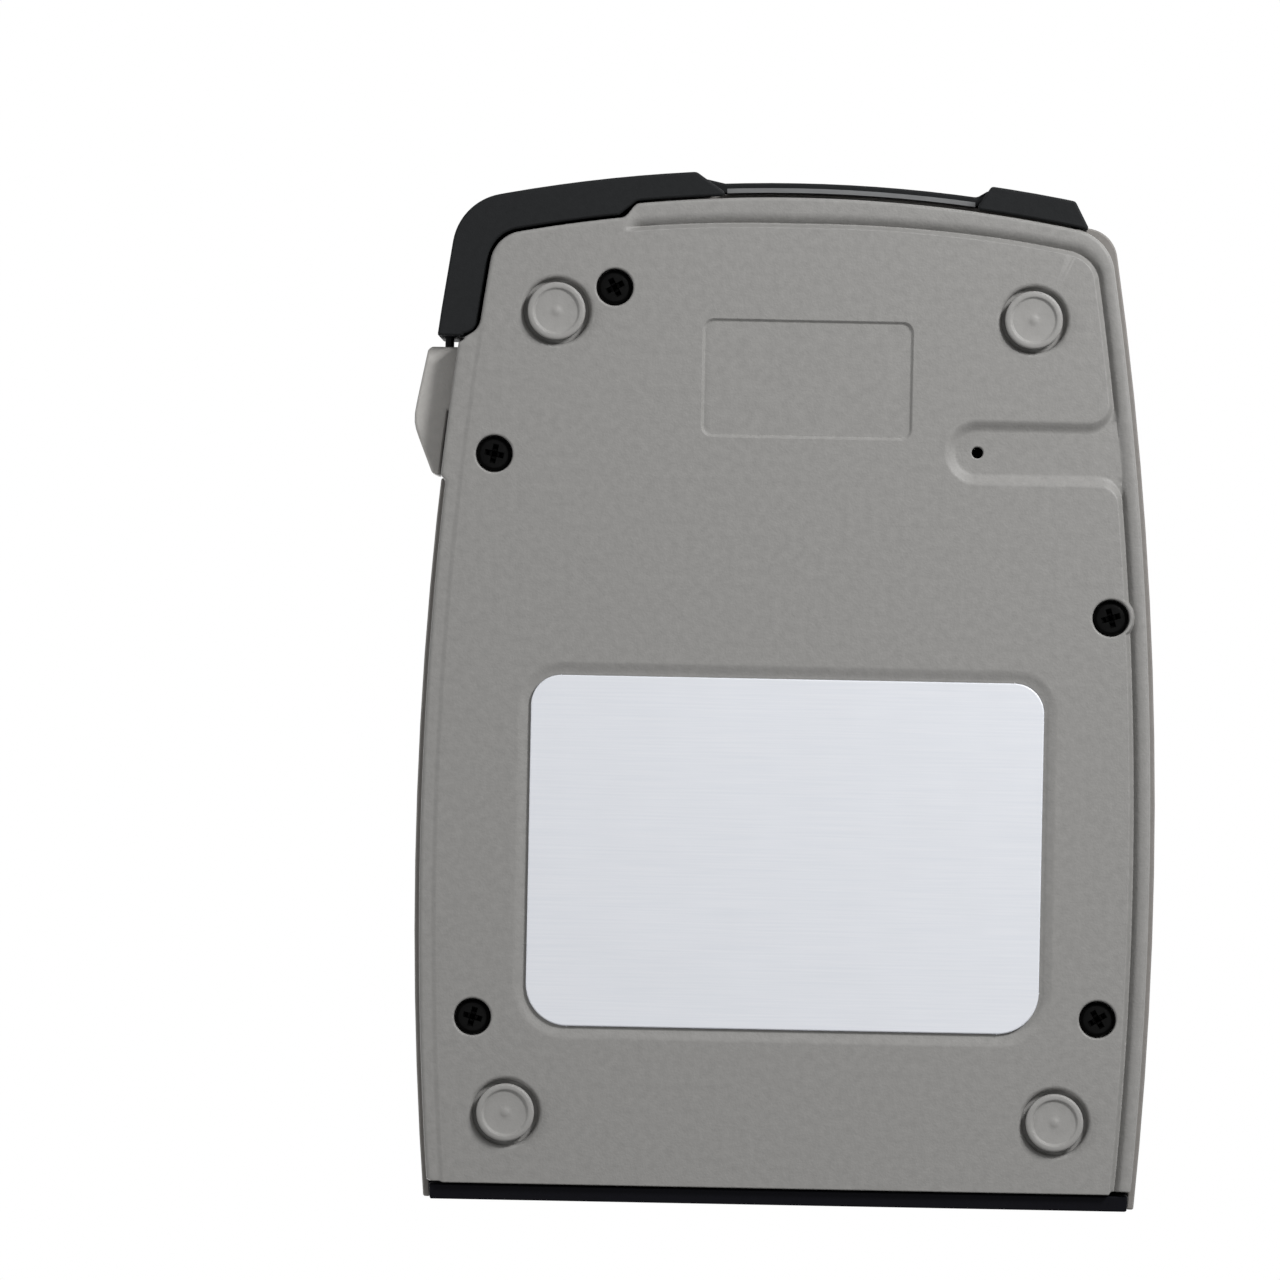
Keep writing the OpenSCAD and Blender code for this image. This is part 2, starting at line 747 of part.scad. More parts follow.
module key_mat() {
    color([0.25, 0.25, 0.26]) {
        translate([0, keys_y]) slab(board_z, board_z + mat_t) round_rect(mat_w, mat_l, 3);
        for (k = keys) translate([k[0], keys_y + k[1], board_z + mat_t - eps])
            cylinder(r1 = 3.4, r2 = 2.4, h = mat_dome);
    }
}

module key(i) {
    k = keys[i];
    color([0.72, 0.73, 0.72]) {
        slab(key_lip_z - 1.6, key_top_z) key_plan(k, 0);
        slab(key_lip_z - 1.6, key_lip_z) key_plan(k, key_lip);
        translate([k[0], keys_y + k[1]]) slab(key_foot_z, key_lip_z) circle(d = 4.4);
    }
}

module main_board() {
    color([0.05, 0.35, 0.2]) slab(under_z, board_z) difference() {
        union() {
            translate([-board_half, board_low]) square([2 * board_half, board_top - board_low - 1]);
            translate([reset_at[0] - 5, board_low]) square([10, channel_y + 1 - board_low]);
        }
        for (p = side_screws) translate(p) circle(d = front_boss_d + 1);
        for (p = post_at) translate(p) circle(d = board_screw_d + 0.2);
    }
}

module board_chips() {
    chip_t = 1.4;
    color([0.12, 0.12, 0.13]) {
        block([-8, display_y - 10, under_z - chip_t], [8, display_y + 6, under_z]);
        block([16, display_y - 6, under_z - chip_t], [26, display_y + 8, under_z]);
        block([-30, display_y - 8, under_z - chip_t], [-16, display_y - 2, under_z]);
        for (i = [0:3]) translate([-34 + 8 * i, display_y + 20, under_z - 5]) cylinder(d = 5, h = 5);
    }
}

module board_screws() {
    color(steel) for (p = post_at) translate(p) {
        slab(under_z - 1.4, under_z) circle(d = 3.8);
        slab(under_z - 1.4, board_z + 4) circle(d = board_screw_d);
    }
}

module sensor_socket() {
    color(steel) translate([sensor_x, end_y + 0.2, socket_z]) rotate([-90, 0, 0]) {
        difference() {
            cylinder(d = sensor_d, h = end_t + socket_l);
            translate([0, 0, -1]) cylinder(d = sensor_bore, h = 9.5);
            for (t = [0:72:288]) rotate(t) translate([sensor_bore / 4, 0, 2]) cylinder(d = 0.9, h = 8);
        }
        translate([0, 0, end_t + 2]) difference() {
            cylinder(d = sensor_d + 4, h = 2.4, $fn = 6);
            translate([0, 0, -1]) cylinder(d = sensor_d - eps, h = 5);
        }
    }
}

module usb_socket() {
    color(steel) difference() {
        block([usb_x - usb_w / 2, end_y + 0.2, under_z - usb_h], [usb_x + usb_w / 2, end_y + end_t + socket_l, under_z]);
        block([usb_x - usb_w / 2 + 1, end_y - 1, under_z - usb_h + 1], [usb_x + usb_w / 2 - 1, end_y + 9, under_z - 1]);
    }
    color(black) block([usb_x - 2.8, end_y + 1.5, under_z - usb_h / 2 - 1.6], [usb_x + 2.8, end_y + 9 + eps, under_z - usb_h / 2 + 1.6]);
}

module charge_jack() {
    color(black) difference() {
        block([jack_x - jack_w / 2, end_y + 0.2, under_z - jack_h], [jack_x + jack_w / 2, end_y + end_t + socket_l, under_z]);
        translate([jack_x, end_y - 1, under_z - jack_h / 2]) rotate([-90, 0, 0]) cylinder(d = 6.4, h = 11);
    }
    color(steel) translate([jack_x, end_y + 1.5, under_z - jack_h / 2]) rotate([-90, 0, 0]) cylinder(d = 2, h = 9);
}

module reset_switch() {
    color(black) translate(reset_at) {
        slab(under_z - 3.4, under_z) translate([-3, -2.2]) square([6, 3.2]);
        slab(under_z - 4.4, under_z - 3.4 + eps) circle(d = 1.4);
    }
}

module buzzer() {
    color(black) translate(buzzer_at) slab(board_z, board_z + buzzer_t) difference() {
        circle(d = 9);
        circle(d = 1.6);
    }
}

module battery_pack() {
    color([0.15, 0.3, 0.55]) translate([0, battery_y]) slab(battery_z, battery_z + battery_h)
        round_rect(battery_w, battery_l, battery_corner_r);
}

module battery_bracket() {
    out = battery_w / 2 + 0.4;
    top = battery_z + battery_h;
    seat = floor_z + strap_seat;
    color(steel) translate([0, battery_y]) difference() {
        rotate([90, 0, 0]) translate([0, 0, -strap_w / 2]) linear_extrude(strap_w) polygon([
            [-out - strap_foot, seat], [-out, seat], [-out, top], [out, top], [out, seat],
            [out + strap_foot, seat], [out + strap_foot, seat + strap_t],
            [out + strap_t, seat + strap_t], [out + strap_t, top + strap_t], [-out - strap_t, top + strap_t],
            [-out - strap_t, seat + strap_t], [-out - strap_foot, seat + strap_t]]);
        for (side = [-1, 1]) translate([side * (battery_w / 2 + strap_foot / 2 + 0.5), 0])
            slab(floor_z, floor_z + 8) circle(d = board_screw_d + 0.2);
    }
}

module bracket_screws() {
    seat = floor_z + strap_seat + strap_t;
    color(steel) for (side = [-1, 1]) translate([side * (battery_w / 2 + strap_foot / 2 + 0.5), battery_y]) {
        slab(seat, seat + 1.4) circle(d = 3.6);
        slab(floor_z + 0.5, seat + 1.4) circle(d = board_screw_d - 0.04);
    }
}

// Side view of the printer frame's plates: Y across, Z up
module frame_side() {
    polygon([[frame_back_y, floor_z], [head_y - 1, floor_z], [head_y - 1, slot_z - 2], [platen_y - 1, slot_z + gap],
        [platen_y + platen_r - 0.4, slot_z + gap], [platen_y + platen_r - 0.4, frame_top],
        [bar_y - 2, frame_top], [frame_back_y, frame_shoulder_z]]);
}

module printer_frame() {
    foot_z = part_z;
    color([0.2, 0.2, 0.21]) difference() {
        union() {
            for (x = [plate_x0, plate_x1])
                translate([x, 0, 0]) rotate([90, 0, 90]) linear_extrude(frame_t) frame_side();
            block([plate_x0, bar_y - bar_t, head_low + 6.4], [plate_x1 + frame_t, bar_y, frame_top]);
            block([plate_x0, frame_back_y, floor_z], [plate_x1 + frame_t, frame_back_y + bar_t, floor_z + 2.4]);
            translate([0, 0, foot_z]) linear_extrude(2.4) polygon([[plate_x1, printer_screw[1] - 5],
                [printer_screw[0] + 4.5, printer_screw[1] - 5], [printer_screw[0] + 4.5, printer_screw[1] + 4],
                [plate_x1, printer_screw[1] + 4]]);
        }
        for (x = [plate_x0, plate_x1]) {
            bar_x(x - 1, x + frame_t + 1, roll_y, roll_z, shaft_d / 2 + run_gap);
            bar_x(x - 1, x + frame_t + 1, platen_y, platen_z, shaft_d / 2 + run_gap);
        }
        translate(printer_screw) slab(foot_z - 1, foot_z + 4) circle(d = screw_d + 0.1);
    }
}

module print_head() {
    color([0.75, 0.75, 0.72]) difference() {
        block([plate_x0 + frame_t + 0.05, head_y - head_block_t, head_low], [plate_x1 - 0.05, head_y, head_top]);
        for (x = [-1, 1]) translate([paper_x + x * paper_w / 3, head_y - head_block_t - 1, head_top - 2.5])
            rotate([-90, 0, 0]) cylinder(d = 2, h = 4);
    }
}

// Bent leaf that presses the print head against the platen
module head_spring() {
    leaf = 0.5;
    reach = head_y - head_block_t - bar_y;
    color(steel) translate([paper_x - 9, 0, 0]) rotate([90, 0, 90]) linear_extrude(18) polygon([
        [bar_y, frame_top - 0.6], [bar_y, platen_z + 2.6], [bar_y + reach - leaf, platen_z + 0.6],
        [bar_y + reach - leaf, platen_z - 1], [bar_y + reach, platen_z - 1], [bar_y + reach, platen_z + 1],
        [bar_y + leaf, platen_z + 3.4], [bar_y + leaf, frame_top - 0.6]]);
}

module printer_motor() {
    box_x = plate_x1 + frame_t;
    motor_y = platen_y - 10;
    color([0.35, 0.36, 0.37]) {
        difference() {
            block([box_x, motor_y - motor_d / 2, platen_z - motor_d / 2],
                [box_x + gearbox_w, platen_y + platen_r - 0.6, platen_z + motor_d / 2]);
            bar_x(box_x - 1, box_x + gearbox_w - 1, platen_y, platen_z, shaft_d / 2 + run_gap);
        }
        bar_x(box_x + gearbox_w - eps, box_x + gearbox_w + motor_l, motor_y, platen_z, motor_d / 2);
        bar_x(box_x + gearbox_w + motor_l - eps, box_x + gearbox_w + motor_l + 2, motor_y, platen_z, 3);
    }
}

// Curved steel strip on the top edge, its upper edge cut into teeth
module tear_bar() {
    tear_low = slot_z - 7;
    tear_top = slot_z + 1.6;
    teeth = floor(2 * tear_reach / tear_pitch);
    color(steel) difference() {
        slab(tear_low, tear_top) intersection() {
            difference() {
                outline(tear_t);
                outline(0);
            }
            translate([paper_x - tear_reach, platen_y]) square([2 * tear_reach, far]);
        }
        for (i = [0:teeth]) translate([paper_x - tear_reach + i * tear_pitch, top_y - 10, tear_top])
            rotate([-90, 45, 0]) cylinder(d = tear_pitch, h = 30, $fn = 4);
    }
}

module hinge_pins() {
    color(steel) {
        bar_x(bay_x - wall + 0.5, -door_left + pin_hold, hinge_y, hinge_z, pin_d / 2);
        bar_x(nose_end - pin_hold, half_w(hinge_y) - 0.8, hinge_y, hinge_z, pin_d / 2);
    }
}

module paper_door() {
    color(black) {
        difference() {
            union() {
                intersection() {
                    slab(rim_z, door_top_z) door_plan();
                    round_edged(door_top_z, door_edge_r, door_proud, lower_y, door_corner_r);
                }
                slab(door_under_z, door_top_z) {
                    translate([-door_left, hinge_y]) square([nose_end + door_left, leg_y - hinge_y + 1]);
                    intersection() {
                        outline(0);
                        translate([-door_left, leg_y + 0.6]) square(far);
                    }
                }
            }
            slab(rim_z - 1, hook_z) offset(delta = gap) cover_plan();
            slab(hook_z, door_under_z) offset(delta = gap) shell_plan();
            slab(rim_z + door_t, door_under_z) offset(delta = -door_t) door_plan();
            slab(rim_z - 1, slot_z + slot_h) slot_plan(0);
        }
        difference() {
            bar_x(-door_left, nose_end, hinge_y, hinge_z, nose_r);
            bar_x(-door_left - 1, -door_left + pin_hold + 1, hinge_y, hinge_z, pin_d / 2 + run_gap);
            bar_x(nose_end - pin_hold - 1, nose_end + 1, hinge_y, hinge_z, pin_d / 2 + run_gap);
        }
        block([tongue_x, catch_top - tongue_in, catch_z + 3], [tongue_x + tongue_t, leg_y + door_t, catch_z + 11]);
    }
}

// Plan of the catch: a wedge on the side of the case, its inner half passing through the wall
module catch_plan() {
    difference() {
        offset(r = 0.8) offset(delta = -0.8) polygon([
            [half_w(catch_top) - 6, catch_top], [half_w(catch_top) + catch_proud - 0.7, catch_top],
            [half_w(catch_top - 8.4) + catch_proud - 0.1, catch_top - 8.4],
            [half_w(catch_top - 10.4) + catch_proud, catch_top - 10.4],
            [half_w(catch_top - 11.8) + catch_proud - 0.15, catch_top - 11.8],
            [half_w(catch_top - 12.9) + catch_proud - 0.5, catch_top - 12.9],
            [half_w(catch_top - 14.1) + catch_proud - 1.05, catch_top - 14.1],
            [half_w(catch_top - 17) + catch_proud - 2.5, catch_top - 17],
            [half_w(catch_low) + 1.2, catch_low], [half_w(catch_low) - 6, catch_low]]);
        intersection() {
            outline(0.05);
            translate([0, catch_low - 1]) square([far, catch_pass - catch_low + 1]);
        }
        translate([0, catch_pass]) square([catch_flange_x - 2, catch_l]);
    }
}

module release_catch() {
    slot_w = tongue_t + catch_travel + 2 * gap;
    color(grey) difference() {
        union() {
            slab(catch_z, catch_z + catch_h) catch_plan();
            block([catch_flange_x - 2, catch_pass - 1, catch_z - 0.8],
                [catch_flange_x, catch_top + 0.2, catch_z + catch_h + 0.8]);
        }
        block([tongue_x - gap, catch_top - tongue_in - gap, catch_z + 3 - gap],
            [tongue_x - gap + slot_w, catch_top + 1, catch_z + 11 + 2.4]);
    }
}

module catch_spring() {
    color(steel) translate([catch_flange_x - 2 - spring_l, spring_y, spring_z]) rotate([0, 90, 0])
        coil(spring_r, spring_wire, spring_l, spring_turns);
}

module platen_roller() {
    color([0.16, 0.16, 0.17]) difference() {
        bar_x(paper_x - paper_w / 2, paper_x + paper_w / 2, platen_y, platen_z, platen_r);
        bar_x(paper_x - paper_w, paper_x + paper_w, platen_y, platen_z, shaft_d / 2);
    }
}

module platen_shaft() {
    color(steel) bar_x(plate_x0 + 0.2, plate_x1 + frame_t + gearbox_w - 1.5, platen_y, platen_z, shaft_d / 2);
}

module paper_roll() {
    color([0.93, 0.93, 0.91]) difference() {
        bar_x(paper_x - paper_w / 2, paper_x + paper_w / 2, roll_y, roll_z, roll_r);
        bar_x(paper_x - paper_w, paper_x + paper_w, roll_y, roll_z, core_r);
    }
}

module roll_core() {
    color(black) {
        bar_x(paper_x - paper_w / 2, paper_x + paper_w / 2, roll_y, roll_z, core_r);
        bar_x(plate_x0 + 0.2, plate_x1 + frame_t - 0.2, roll_y, roll_z, shaft_d / 2);
    }
}

back_cover();
front_shell();
front_panel();
lower_end_panel();
foot(0);  // foot_1
foot(1);  // foot_2
foot(2);  // foot_3
foot(3);  // foot_4
case_screws();
name_plate();
display_window();
lcd_panel();
lcd_frame();
key_mat();
key(0);  // key_power
key(1);  // key_back
key(2);  // key_print
key(3);  // key_start
key(4);  // key_up
key(5);  // key_down
key(6);  // key_left
key(7);  // key_right
key(8);  // key_enter
main_board();
board_chips();
board_screws();
sensor_socket();
usb_socket();
charge_jack();
reset_switch();
buzzer();
battery_pack();
battery_bracket();
bracket_screws();
printer_frame();
print_head();
head_spring();
printer_motor();
tear_bar();
hinge_pins();
paper_door();
release_catch();
catch_spring();
platen_roller();
platen_shaft();
paper_roll();
roll_core();
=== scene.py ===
import math

import bmesh
import bpy
from mathutils import Matrix, Vector, geometry, kdtree


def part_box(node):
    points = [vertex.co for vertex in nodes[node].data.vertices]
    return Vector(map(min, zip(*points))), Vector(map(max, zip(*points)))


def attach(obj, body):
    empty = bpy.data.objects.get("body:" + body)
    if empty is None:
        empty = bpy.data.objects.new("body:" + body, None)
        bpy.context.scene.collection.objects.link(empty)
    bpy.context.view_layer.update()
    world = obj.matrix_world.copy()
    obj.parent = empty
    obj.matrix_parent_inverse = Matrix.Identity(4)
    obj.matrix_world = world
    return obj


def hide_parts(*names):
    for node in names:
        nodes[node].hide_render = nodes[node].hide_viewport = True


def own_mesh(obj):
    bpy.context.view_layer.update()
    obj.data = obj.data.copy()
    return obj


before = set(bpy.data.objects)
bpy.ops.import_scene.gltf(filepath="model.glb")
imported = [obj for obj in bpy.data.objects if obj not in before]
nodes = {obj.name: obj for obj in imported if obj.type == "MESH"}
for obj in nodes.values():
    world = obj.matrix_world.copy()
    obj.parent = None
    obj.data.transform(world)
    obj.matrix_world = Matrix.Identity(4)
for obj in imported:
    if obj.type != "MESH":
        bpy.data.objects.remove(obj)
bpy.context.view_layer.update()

# Front shell: the grey half of the case, moulded in satin ABS with a round front edge.
# It lies face down on the bench while everything else is put into it.
# The photograph shows only its thin outer edge around the back cover.
MM = 0.001


def srgb(red, green, blue):
    """A colour in levels of 0 to 255, as the linear colour that a shader takes."""
    levels = [c / 255 for c in (red, green, blue)]
    return [c / 12.92 if c <= 0.04045 else ((c + 0.055) / 1.055) ** 2.4 for c in levels] + [1.0]


def new_finish(name):
    material = bpy.data.materials.new(name)
    material.use_nodes = True
    tree = material.node_tree
    place = tree.nodes.new("ShaderNodeTexCoord").outputs["Object"]
    return material, tree, tree.nodes["Principled BSDF"], place


def cloud(tree, place, size_mm, low, high, detail=2.0):
    """A soft noise of that feature size, carried from low to high."""
    noise = tree.nodes.new("ShaderNodeTexNoise")
    noise.inputs["Scale"].default_value = 1 / (size_mm * MM)
    noise.inputs["Detail"].default_value = detail
    spread = tree.nodes.new("ShaderNodeMapRange")
    spread.inputs["From Min"].default_value = 0.3
    spread.inputs["From Max"].default_value = 0.7
    spread.inputs["To Min"].default_value = low
    spread.inputs["To Max"].default_value = high
    tree.links.new(place, noise.inputs["Vector"])
    tree.links.new(noise.outputs["Fac"], spread.inputs["Value"])
    return spread.outputs["Result"]


def between(tree, share, first, second):
    """A colour mixed from two by a share that varies over the surface."""
    mix = tree.nodes.new("ShaderNodeMix")
    mix.data_type = "RGBA"
    mix.inputs[6].default_value = first
    mix.inputs[7].default_value = second
    tree.links.new(share, mix.inputs[0])
    return mix.outputs[2]


def press_in(tree, shader, height, depth_mm, strength=1.0):
    bump = tree.nodes.new("ShaderNodeBump")
    bump.inputs["Distance"].default_value = depth_mm * MM
    bump.inputs["Strength"].default_value = strength
    tree.links.new(height, bump.inputs["Height"])
    tree.links.new(bump.outputs["Normal"], shader.inputs["Normal"])


def moulded(name, colour, spread, roughness, grain_mm, depth_mm, specular=0.4):
    """Moulded plastic: a faint cloudy colour, a fine spark-eroded grain and uneven gloss."""
    material, tree, shader, place = new_finish(name)
    dark = [c * (1 - spread) for c in colour[:3]] + [1.0]
    light = [c * (1 + spread) for c in colour[:3]] + [1.0]
    patch_mm = 3 * grain_mm
    shade = cloud(tree, place, patch_mm, 0.0, 1.0, detail=4.0)
    tree.links.new(between(tree, shade, dark, light), shader.inputs["Base Color"])
    gloss = cloud(tree, place, patch_mm, roughness - 0.05, roughness + 0.05)
    tree.links.new(gloss, shader.inputs["Roughness"])
    shader.inputs["Specular IOR Level"].default_value = specular
    press_in(tree, shader, cloud(tree, place, grain_mm, 0.0, 1.0), depth_mm)
    return material


def put_in_scene(name, data):
    """A new object of that name, at the origin."""
    made = bpy.data.objects.new(name, data)
    bpy.context.scene.collection.objects.link(made)
    return made


def shade_smooth(shape, angle):
    """Smooth shading, with edges sharper than the angle left crisp."""
    for face in shape.faces:
        face.smooth = True
    for edge in shape.edges:
        edge.smooth = edge.is_manifold and edge.calc_face_angle(0) < math.radians(angle)


def weigh_normals(piece):
    normals = piece.modifiers.new("face_normals", "WEIGHTED_NORMAL")
    normals.keep_sharp = True


def soft_edged(node, name, width_mm, material, body, angle=35, parts=2, weld_mm=0.002):
    """The solid of a node with its edges rounded over, as a mould leaves them."""
    same_plane = math.radians(0.4)
    mesh = nodes[node].data.copy()
    mesh.name = name
    shape = bmesh.new()
    shape.from_mesh(mesh)
    bmesh.ops.remove_doubles(shape, verts=shape.verts, dist=weld_mm * MM)
    bmesh.ops.dissolve_limit(shape, angle_limit=same_plane, verts=shape.verts, edges=shape.edges)
    for face in shape.faces:
        face.material_index = 0
    shade_smooth(shape, angle)
    shape.to_mesh(mesh)
    shape.free()
    mesh.materials.clear()
    mesh.materials.append(material)
    piece = put_in_scene(name, mesh)
    if width_mm:
        edges = piece.modifiers.new("round_edges", "BEVEL")
        edges.width = width_mm * MM
        edges.segments = parts
        edges.limit_method = "ANGLE"
        edges.angle_limit = math.radians(angle)
        edges.use_clamp_overlap = False
    weigh_normals(piece)
    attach(piece, body)
    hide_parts(node)
    return piece


# The shell's grey is darker and browner than the back cover's: partly its own tone, partly painted shade for
# its thin outer edge.
shell_plastic = moulded("shell_moulding", srgb(124, 121, 118), 0.05, 0.5, 0.42, 0.02, specular=0.25)
soft_edged("front_shell", "front_shell_finished", 0.25, shell_plastic, "case")

# Front panel and window: a black trim panel glued into the shell's seat, with a clear window.
# Under the window lies the display glass in its pressed metal frame.
# Both are polished, and the glass behind has the grey green of a display that is off.
black_panel = moulded("black_panel", srgb(34, 34, 36), 0.06, 0.42, 0.3, 0.008, specular=0.3)
soft_edged("front_panel", "front_panel_finished", 0.15, black_panel, "case")

clear_window, tree, shader, place = new_finish("clear_window")
shader.inputs["Base Color"].default_value = srgb(225, 232, 230)
shader.inputs["Transmission Weight"].default_value = 0.94
shader.inputs["IOR"].default_value = 1.46
tree.links.new(cloud(tree, place, 14.0, 0.02, 0.06), shader.inputs["Roughness"])
soft_edged("display_window", "display_window_finished", 0.2, clear_window, "case")

display_glass, tree, shader, place = new_finish("display_glass")
pixel_mm = 0.36
pixels = tree.nodes.new("ShaderNodeTexChecker")
pixels.inputs["Scale"].default_value = 1 / (pixel_mm * MM)
pixels.inputs["Color1"].default_value = srgb(128, 140, 118)
pixels.inputs["Color2"].default_value = srgb(120, 132, 111)
tree.links.new(place, pixels.inputs["Vector"])
tree.links.new(pixels.outputs["Color"], shader.inputs["Base Color"])
tree.links.new(cloud(tree, place, 20.0, 0.18, 0.26), shader.inputs["Roughness"])


def paint(material, *names):
    for name in names:
        for slot in nodes[name].material_slots:
            slot.material = material


paint(display_glass, "lcd_panel")

# Keys: nine moulded caps that stand through the panel and spring back on a rubber mat.
# Four are at the sides, four point the ways of a cursor, and a round one is in the middle.
# They are plain satin grey, with soft edges that fingers have polished a little.
key_plastic = moulded("key_moulding", srgb(196, 198, 196), 0.02, 0.46, 0.25, 0.006)
key_names = ["power", "back", "print", "start", "up", "down", "left", "right", "enter"]
for key in key_names:
    node = "key_" + key
    soft_edged(node, node + "_finished", 0.5, key_plastic, node, parts=4)

rubber = moulded("grey_rubber", srgb(58, 58, 60), 0.08, 0.8, 0.5, 0.02, specular=0.2)
paint(rubber, "key_mat")

# Main board: a green circuit board on four posts, with chips, a reset switch and a buzzer.
# It carries the display in a bright pressed frame, and screws hold it to the shell.
board_green, tree, shader, place = new_finish("solder_mask")
track_mm = 6
tracks = tree.nodes.new("ShaderNodeTexBrick")
tracks.inputs["Scale"].default_value = 1 / (track_mm * MM)
tracks.inputs["Mortar Size"].default_value = 0.03
tracks.inputs["Color1"].default_value = srgb(24, 92, 56)
tracks.inputs["Color2"].default_value = srgb(28, 100, 62)
tracks.inputs["Mortar"].default_value = srgb(70, 140, 90)
tree.links.new(place, tracks.inputs["Vector"])
tree.links.new(tracks.outputs["Color"], shader.inputs["Base Color"])
tree.links.new(cloud(tree, place, 2.0, 0.25, 0.4), shader.inputs["Roughness"])
paint(board_green, "main_board")
chip_black = moulded("chip_black", srgb(38, 38, 40), 0.1, 0.6, 0.3, 0.01)
paint(chip_black, "board_chips", "reset_switch", "buzzer")


def drawn_out(tree, place, share):
    """Coordinates for a pattern that is drawn out along X, as fine lines are."""
    stretch = tree.nodes.new("ShaderNodeMapping")
    stretch.inputs["Scale"].default_value = (share, 1.0, 1.0)
    tree.links.new(place, stretch.inputs["Vector"])
    return stretch.outputs["Vector"]


def drawn_metal(name, colour, roughness, grain_mm):
    """Bright sheet or bar with fine lines along X and uneven gloss."""
    material, tree, shader, place = new_finish(name)
    lines = cloud(tree, drawn_out(tree, place, 0.03), grain_mm, 0.0, 1.0, detail=4.0)
    dark = [c * 0.88 for c in colour[:3]] + [1.0]
    tree.links.new(between(tree, lines, dark, colour), shader.inputs["Base Color"])
    tree.links.new(cloud(tree, place, 4.0, roughness - 0.06, roughness + 0.06), shader.inputs["Roughness"])
    shader.inputs["Metallic"].default_value = 1.0
    press_in(tree, shader, lines, 0.004)
    return material


bright_steel = drawn_metal("drawn_steel", srgb(200, 201, 203), 0.3, 0.25)
paint(bright_steel, "lcd_frame", "board_screws")

# Lower end panel: the black plate that closes the lower end, with the sockets set through it.
# A round threaded socket takes the sensor lead, beside it are a square data socket and a charging jack.
# The photograph shows it as a black strip below the back cover.
black_plastic = moulded("black_moulding", srgb(26, 26, 28), 0.08, 0.55, 0.3, 0.012, specular=0.1)
end_black = moulded("black_end_panel", srgb(13, 13, 17), 0.1, 0.5, 0.3, 0.01, specular=0.04)
soft_edged("lower_end_panel", "lower_end_panel_finished", 0.25, end_black, "case")
soft_edged("sensor_socket", "sensor_socket_finished", 0.2, bright_steel, "case")
soft_edged("usb_socket", "usb_socket_finished", 0.15, bright_steel, "case")
soft_edged("charge_jack", "charge_jack_finished", 0.2, black_plastic, "case")

# Strip printer: a frame of two plates with the print head, its leaf spring and a geared motor.
# The roller and the paper roll turn in the plates, and a toothed bar outside tears the strip.
paint(black_plastic, "printer_frame", "roll_core")
paint(bright_steel, "head_spring", "platen_shaft", "hinge_pins")
paint(rubber, "platen_roller")
head_glaze = moulded("head_glaze", srgb(205, 204, 196), 0.03, 0.25, 0.8, 0.004)
paint(head_glaze, "print_head")
motor_can = drawn_metal("motor_can", srgb(150, 151, 152), 0.35, 0.4)
soft_edged("printer_motor", "printer_motor_finished", 0.08, motor_can, "case")
tear_steel = drawn_metal("tear_steel", srgb(116, 117, 118), 0.45, 0.2)
soft_edged("tear_bar", "tear_bar_finished", 0, tear_steel, "case")
paper_white, tree, shader, place = new_finish("roll_paper")
paper_tone = cloud(tree, place, 0.6, 0.0, 1.0, detail=5.0)
paper_colour = between(tree, paper_tone, srgb(232, 232, 228), srgb(242, 242, 238))
tree.links.new(paper_colour, shader.inputs["Base Color"])
tree.links.new(cloud(tree, place, 2.0, 0.7, 0.85), shader.inputs["Roughness"])
press_in(tree, shader, paper_tone, 0.01)
soft_edged("paper_roll", "paper_roll_finished", 0.15, paper_white, "roll")

# Battery: a pack of cells in tight blue shrink film, on the floor of the case.
# A strap of bent bright steel holds it down with two screws.
battery_film = moulded("battery_film", srgb(44, 82, 138), 0.05, 0.3, 1.5, 0.02)
soft_edged("battery_pack", "battery_pack_finished", 1.2, battery_film, "case", parts=4)
paint(bright_steel, "battery_bracket", "bracket_screws")

# Back cover: the shallow grey half of the case, moulded like the front shell.
# Its raised back face steps down into a groove along the rim, and a channel leads to a pinhole.
# Pockets for the feet, wells for the screws, a shallow panel and the plate's dish are moulded in.
side_r = 615.0
top_r = 234.0
rim_corner_r = 8.5
face_corner_r = 9.8
shell_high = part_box("front_shell")[1] / MM
cover_low, cover_high = (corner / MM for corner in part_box("back_cover"))
half_w = shell_high.x
lower_y = cover_low.y
widest_at = 50.0
widest_y = lower_y + widest_at
rim_in = 1.0
top_y = cover_high.y + rim_in
side_centre = Vector((half_w - side_r, widest_y))
top_centre = Vector((0.0, top_y - top_r))


def arc(centre, radius, start, end, pitch, inward=False):
    """Points along an arc, each with the normal that points away from the centre, or towards it."""
    count = max(2, math.ceil(abs(end - start) * radius / pitch))
    turns = [start + (end - start) * i / count for i in range(count + 1)]
    ways = [Vector((math.cos(a), math.sin(a))) for a in turns]
    return [(Vector(centre) + way * radius, -way if inward else way) for way in ways]


def heading(vector):
    return math.atan2(vector.y, vector.x)


def corner_centre(corner_r):
    """Middle of the top corner's round, which touches the side arc and the top arc from inside."""
    reach_side = side_r - corner_r
    reach_top = top_r - corner_r
    span = top_centre - side_centre
    along = (reach_side ** 2 - reach_top ** 2 + span.length_squared) / (2 * span.length)
    across = math.sqrt(reach_side ** 2 - along ** 2)
    way = span.normalized()
    return side_centre + way * along + Vector((-way.y, way.x)) * across


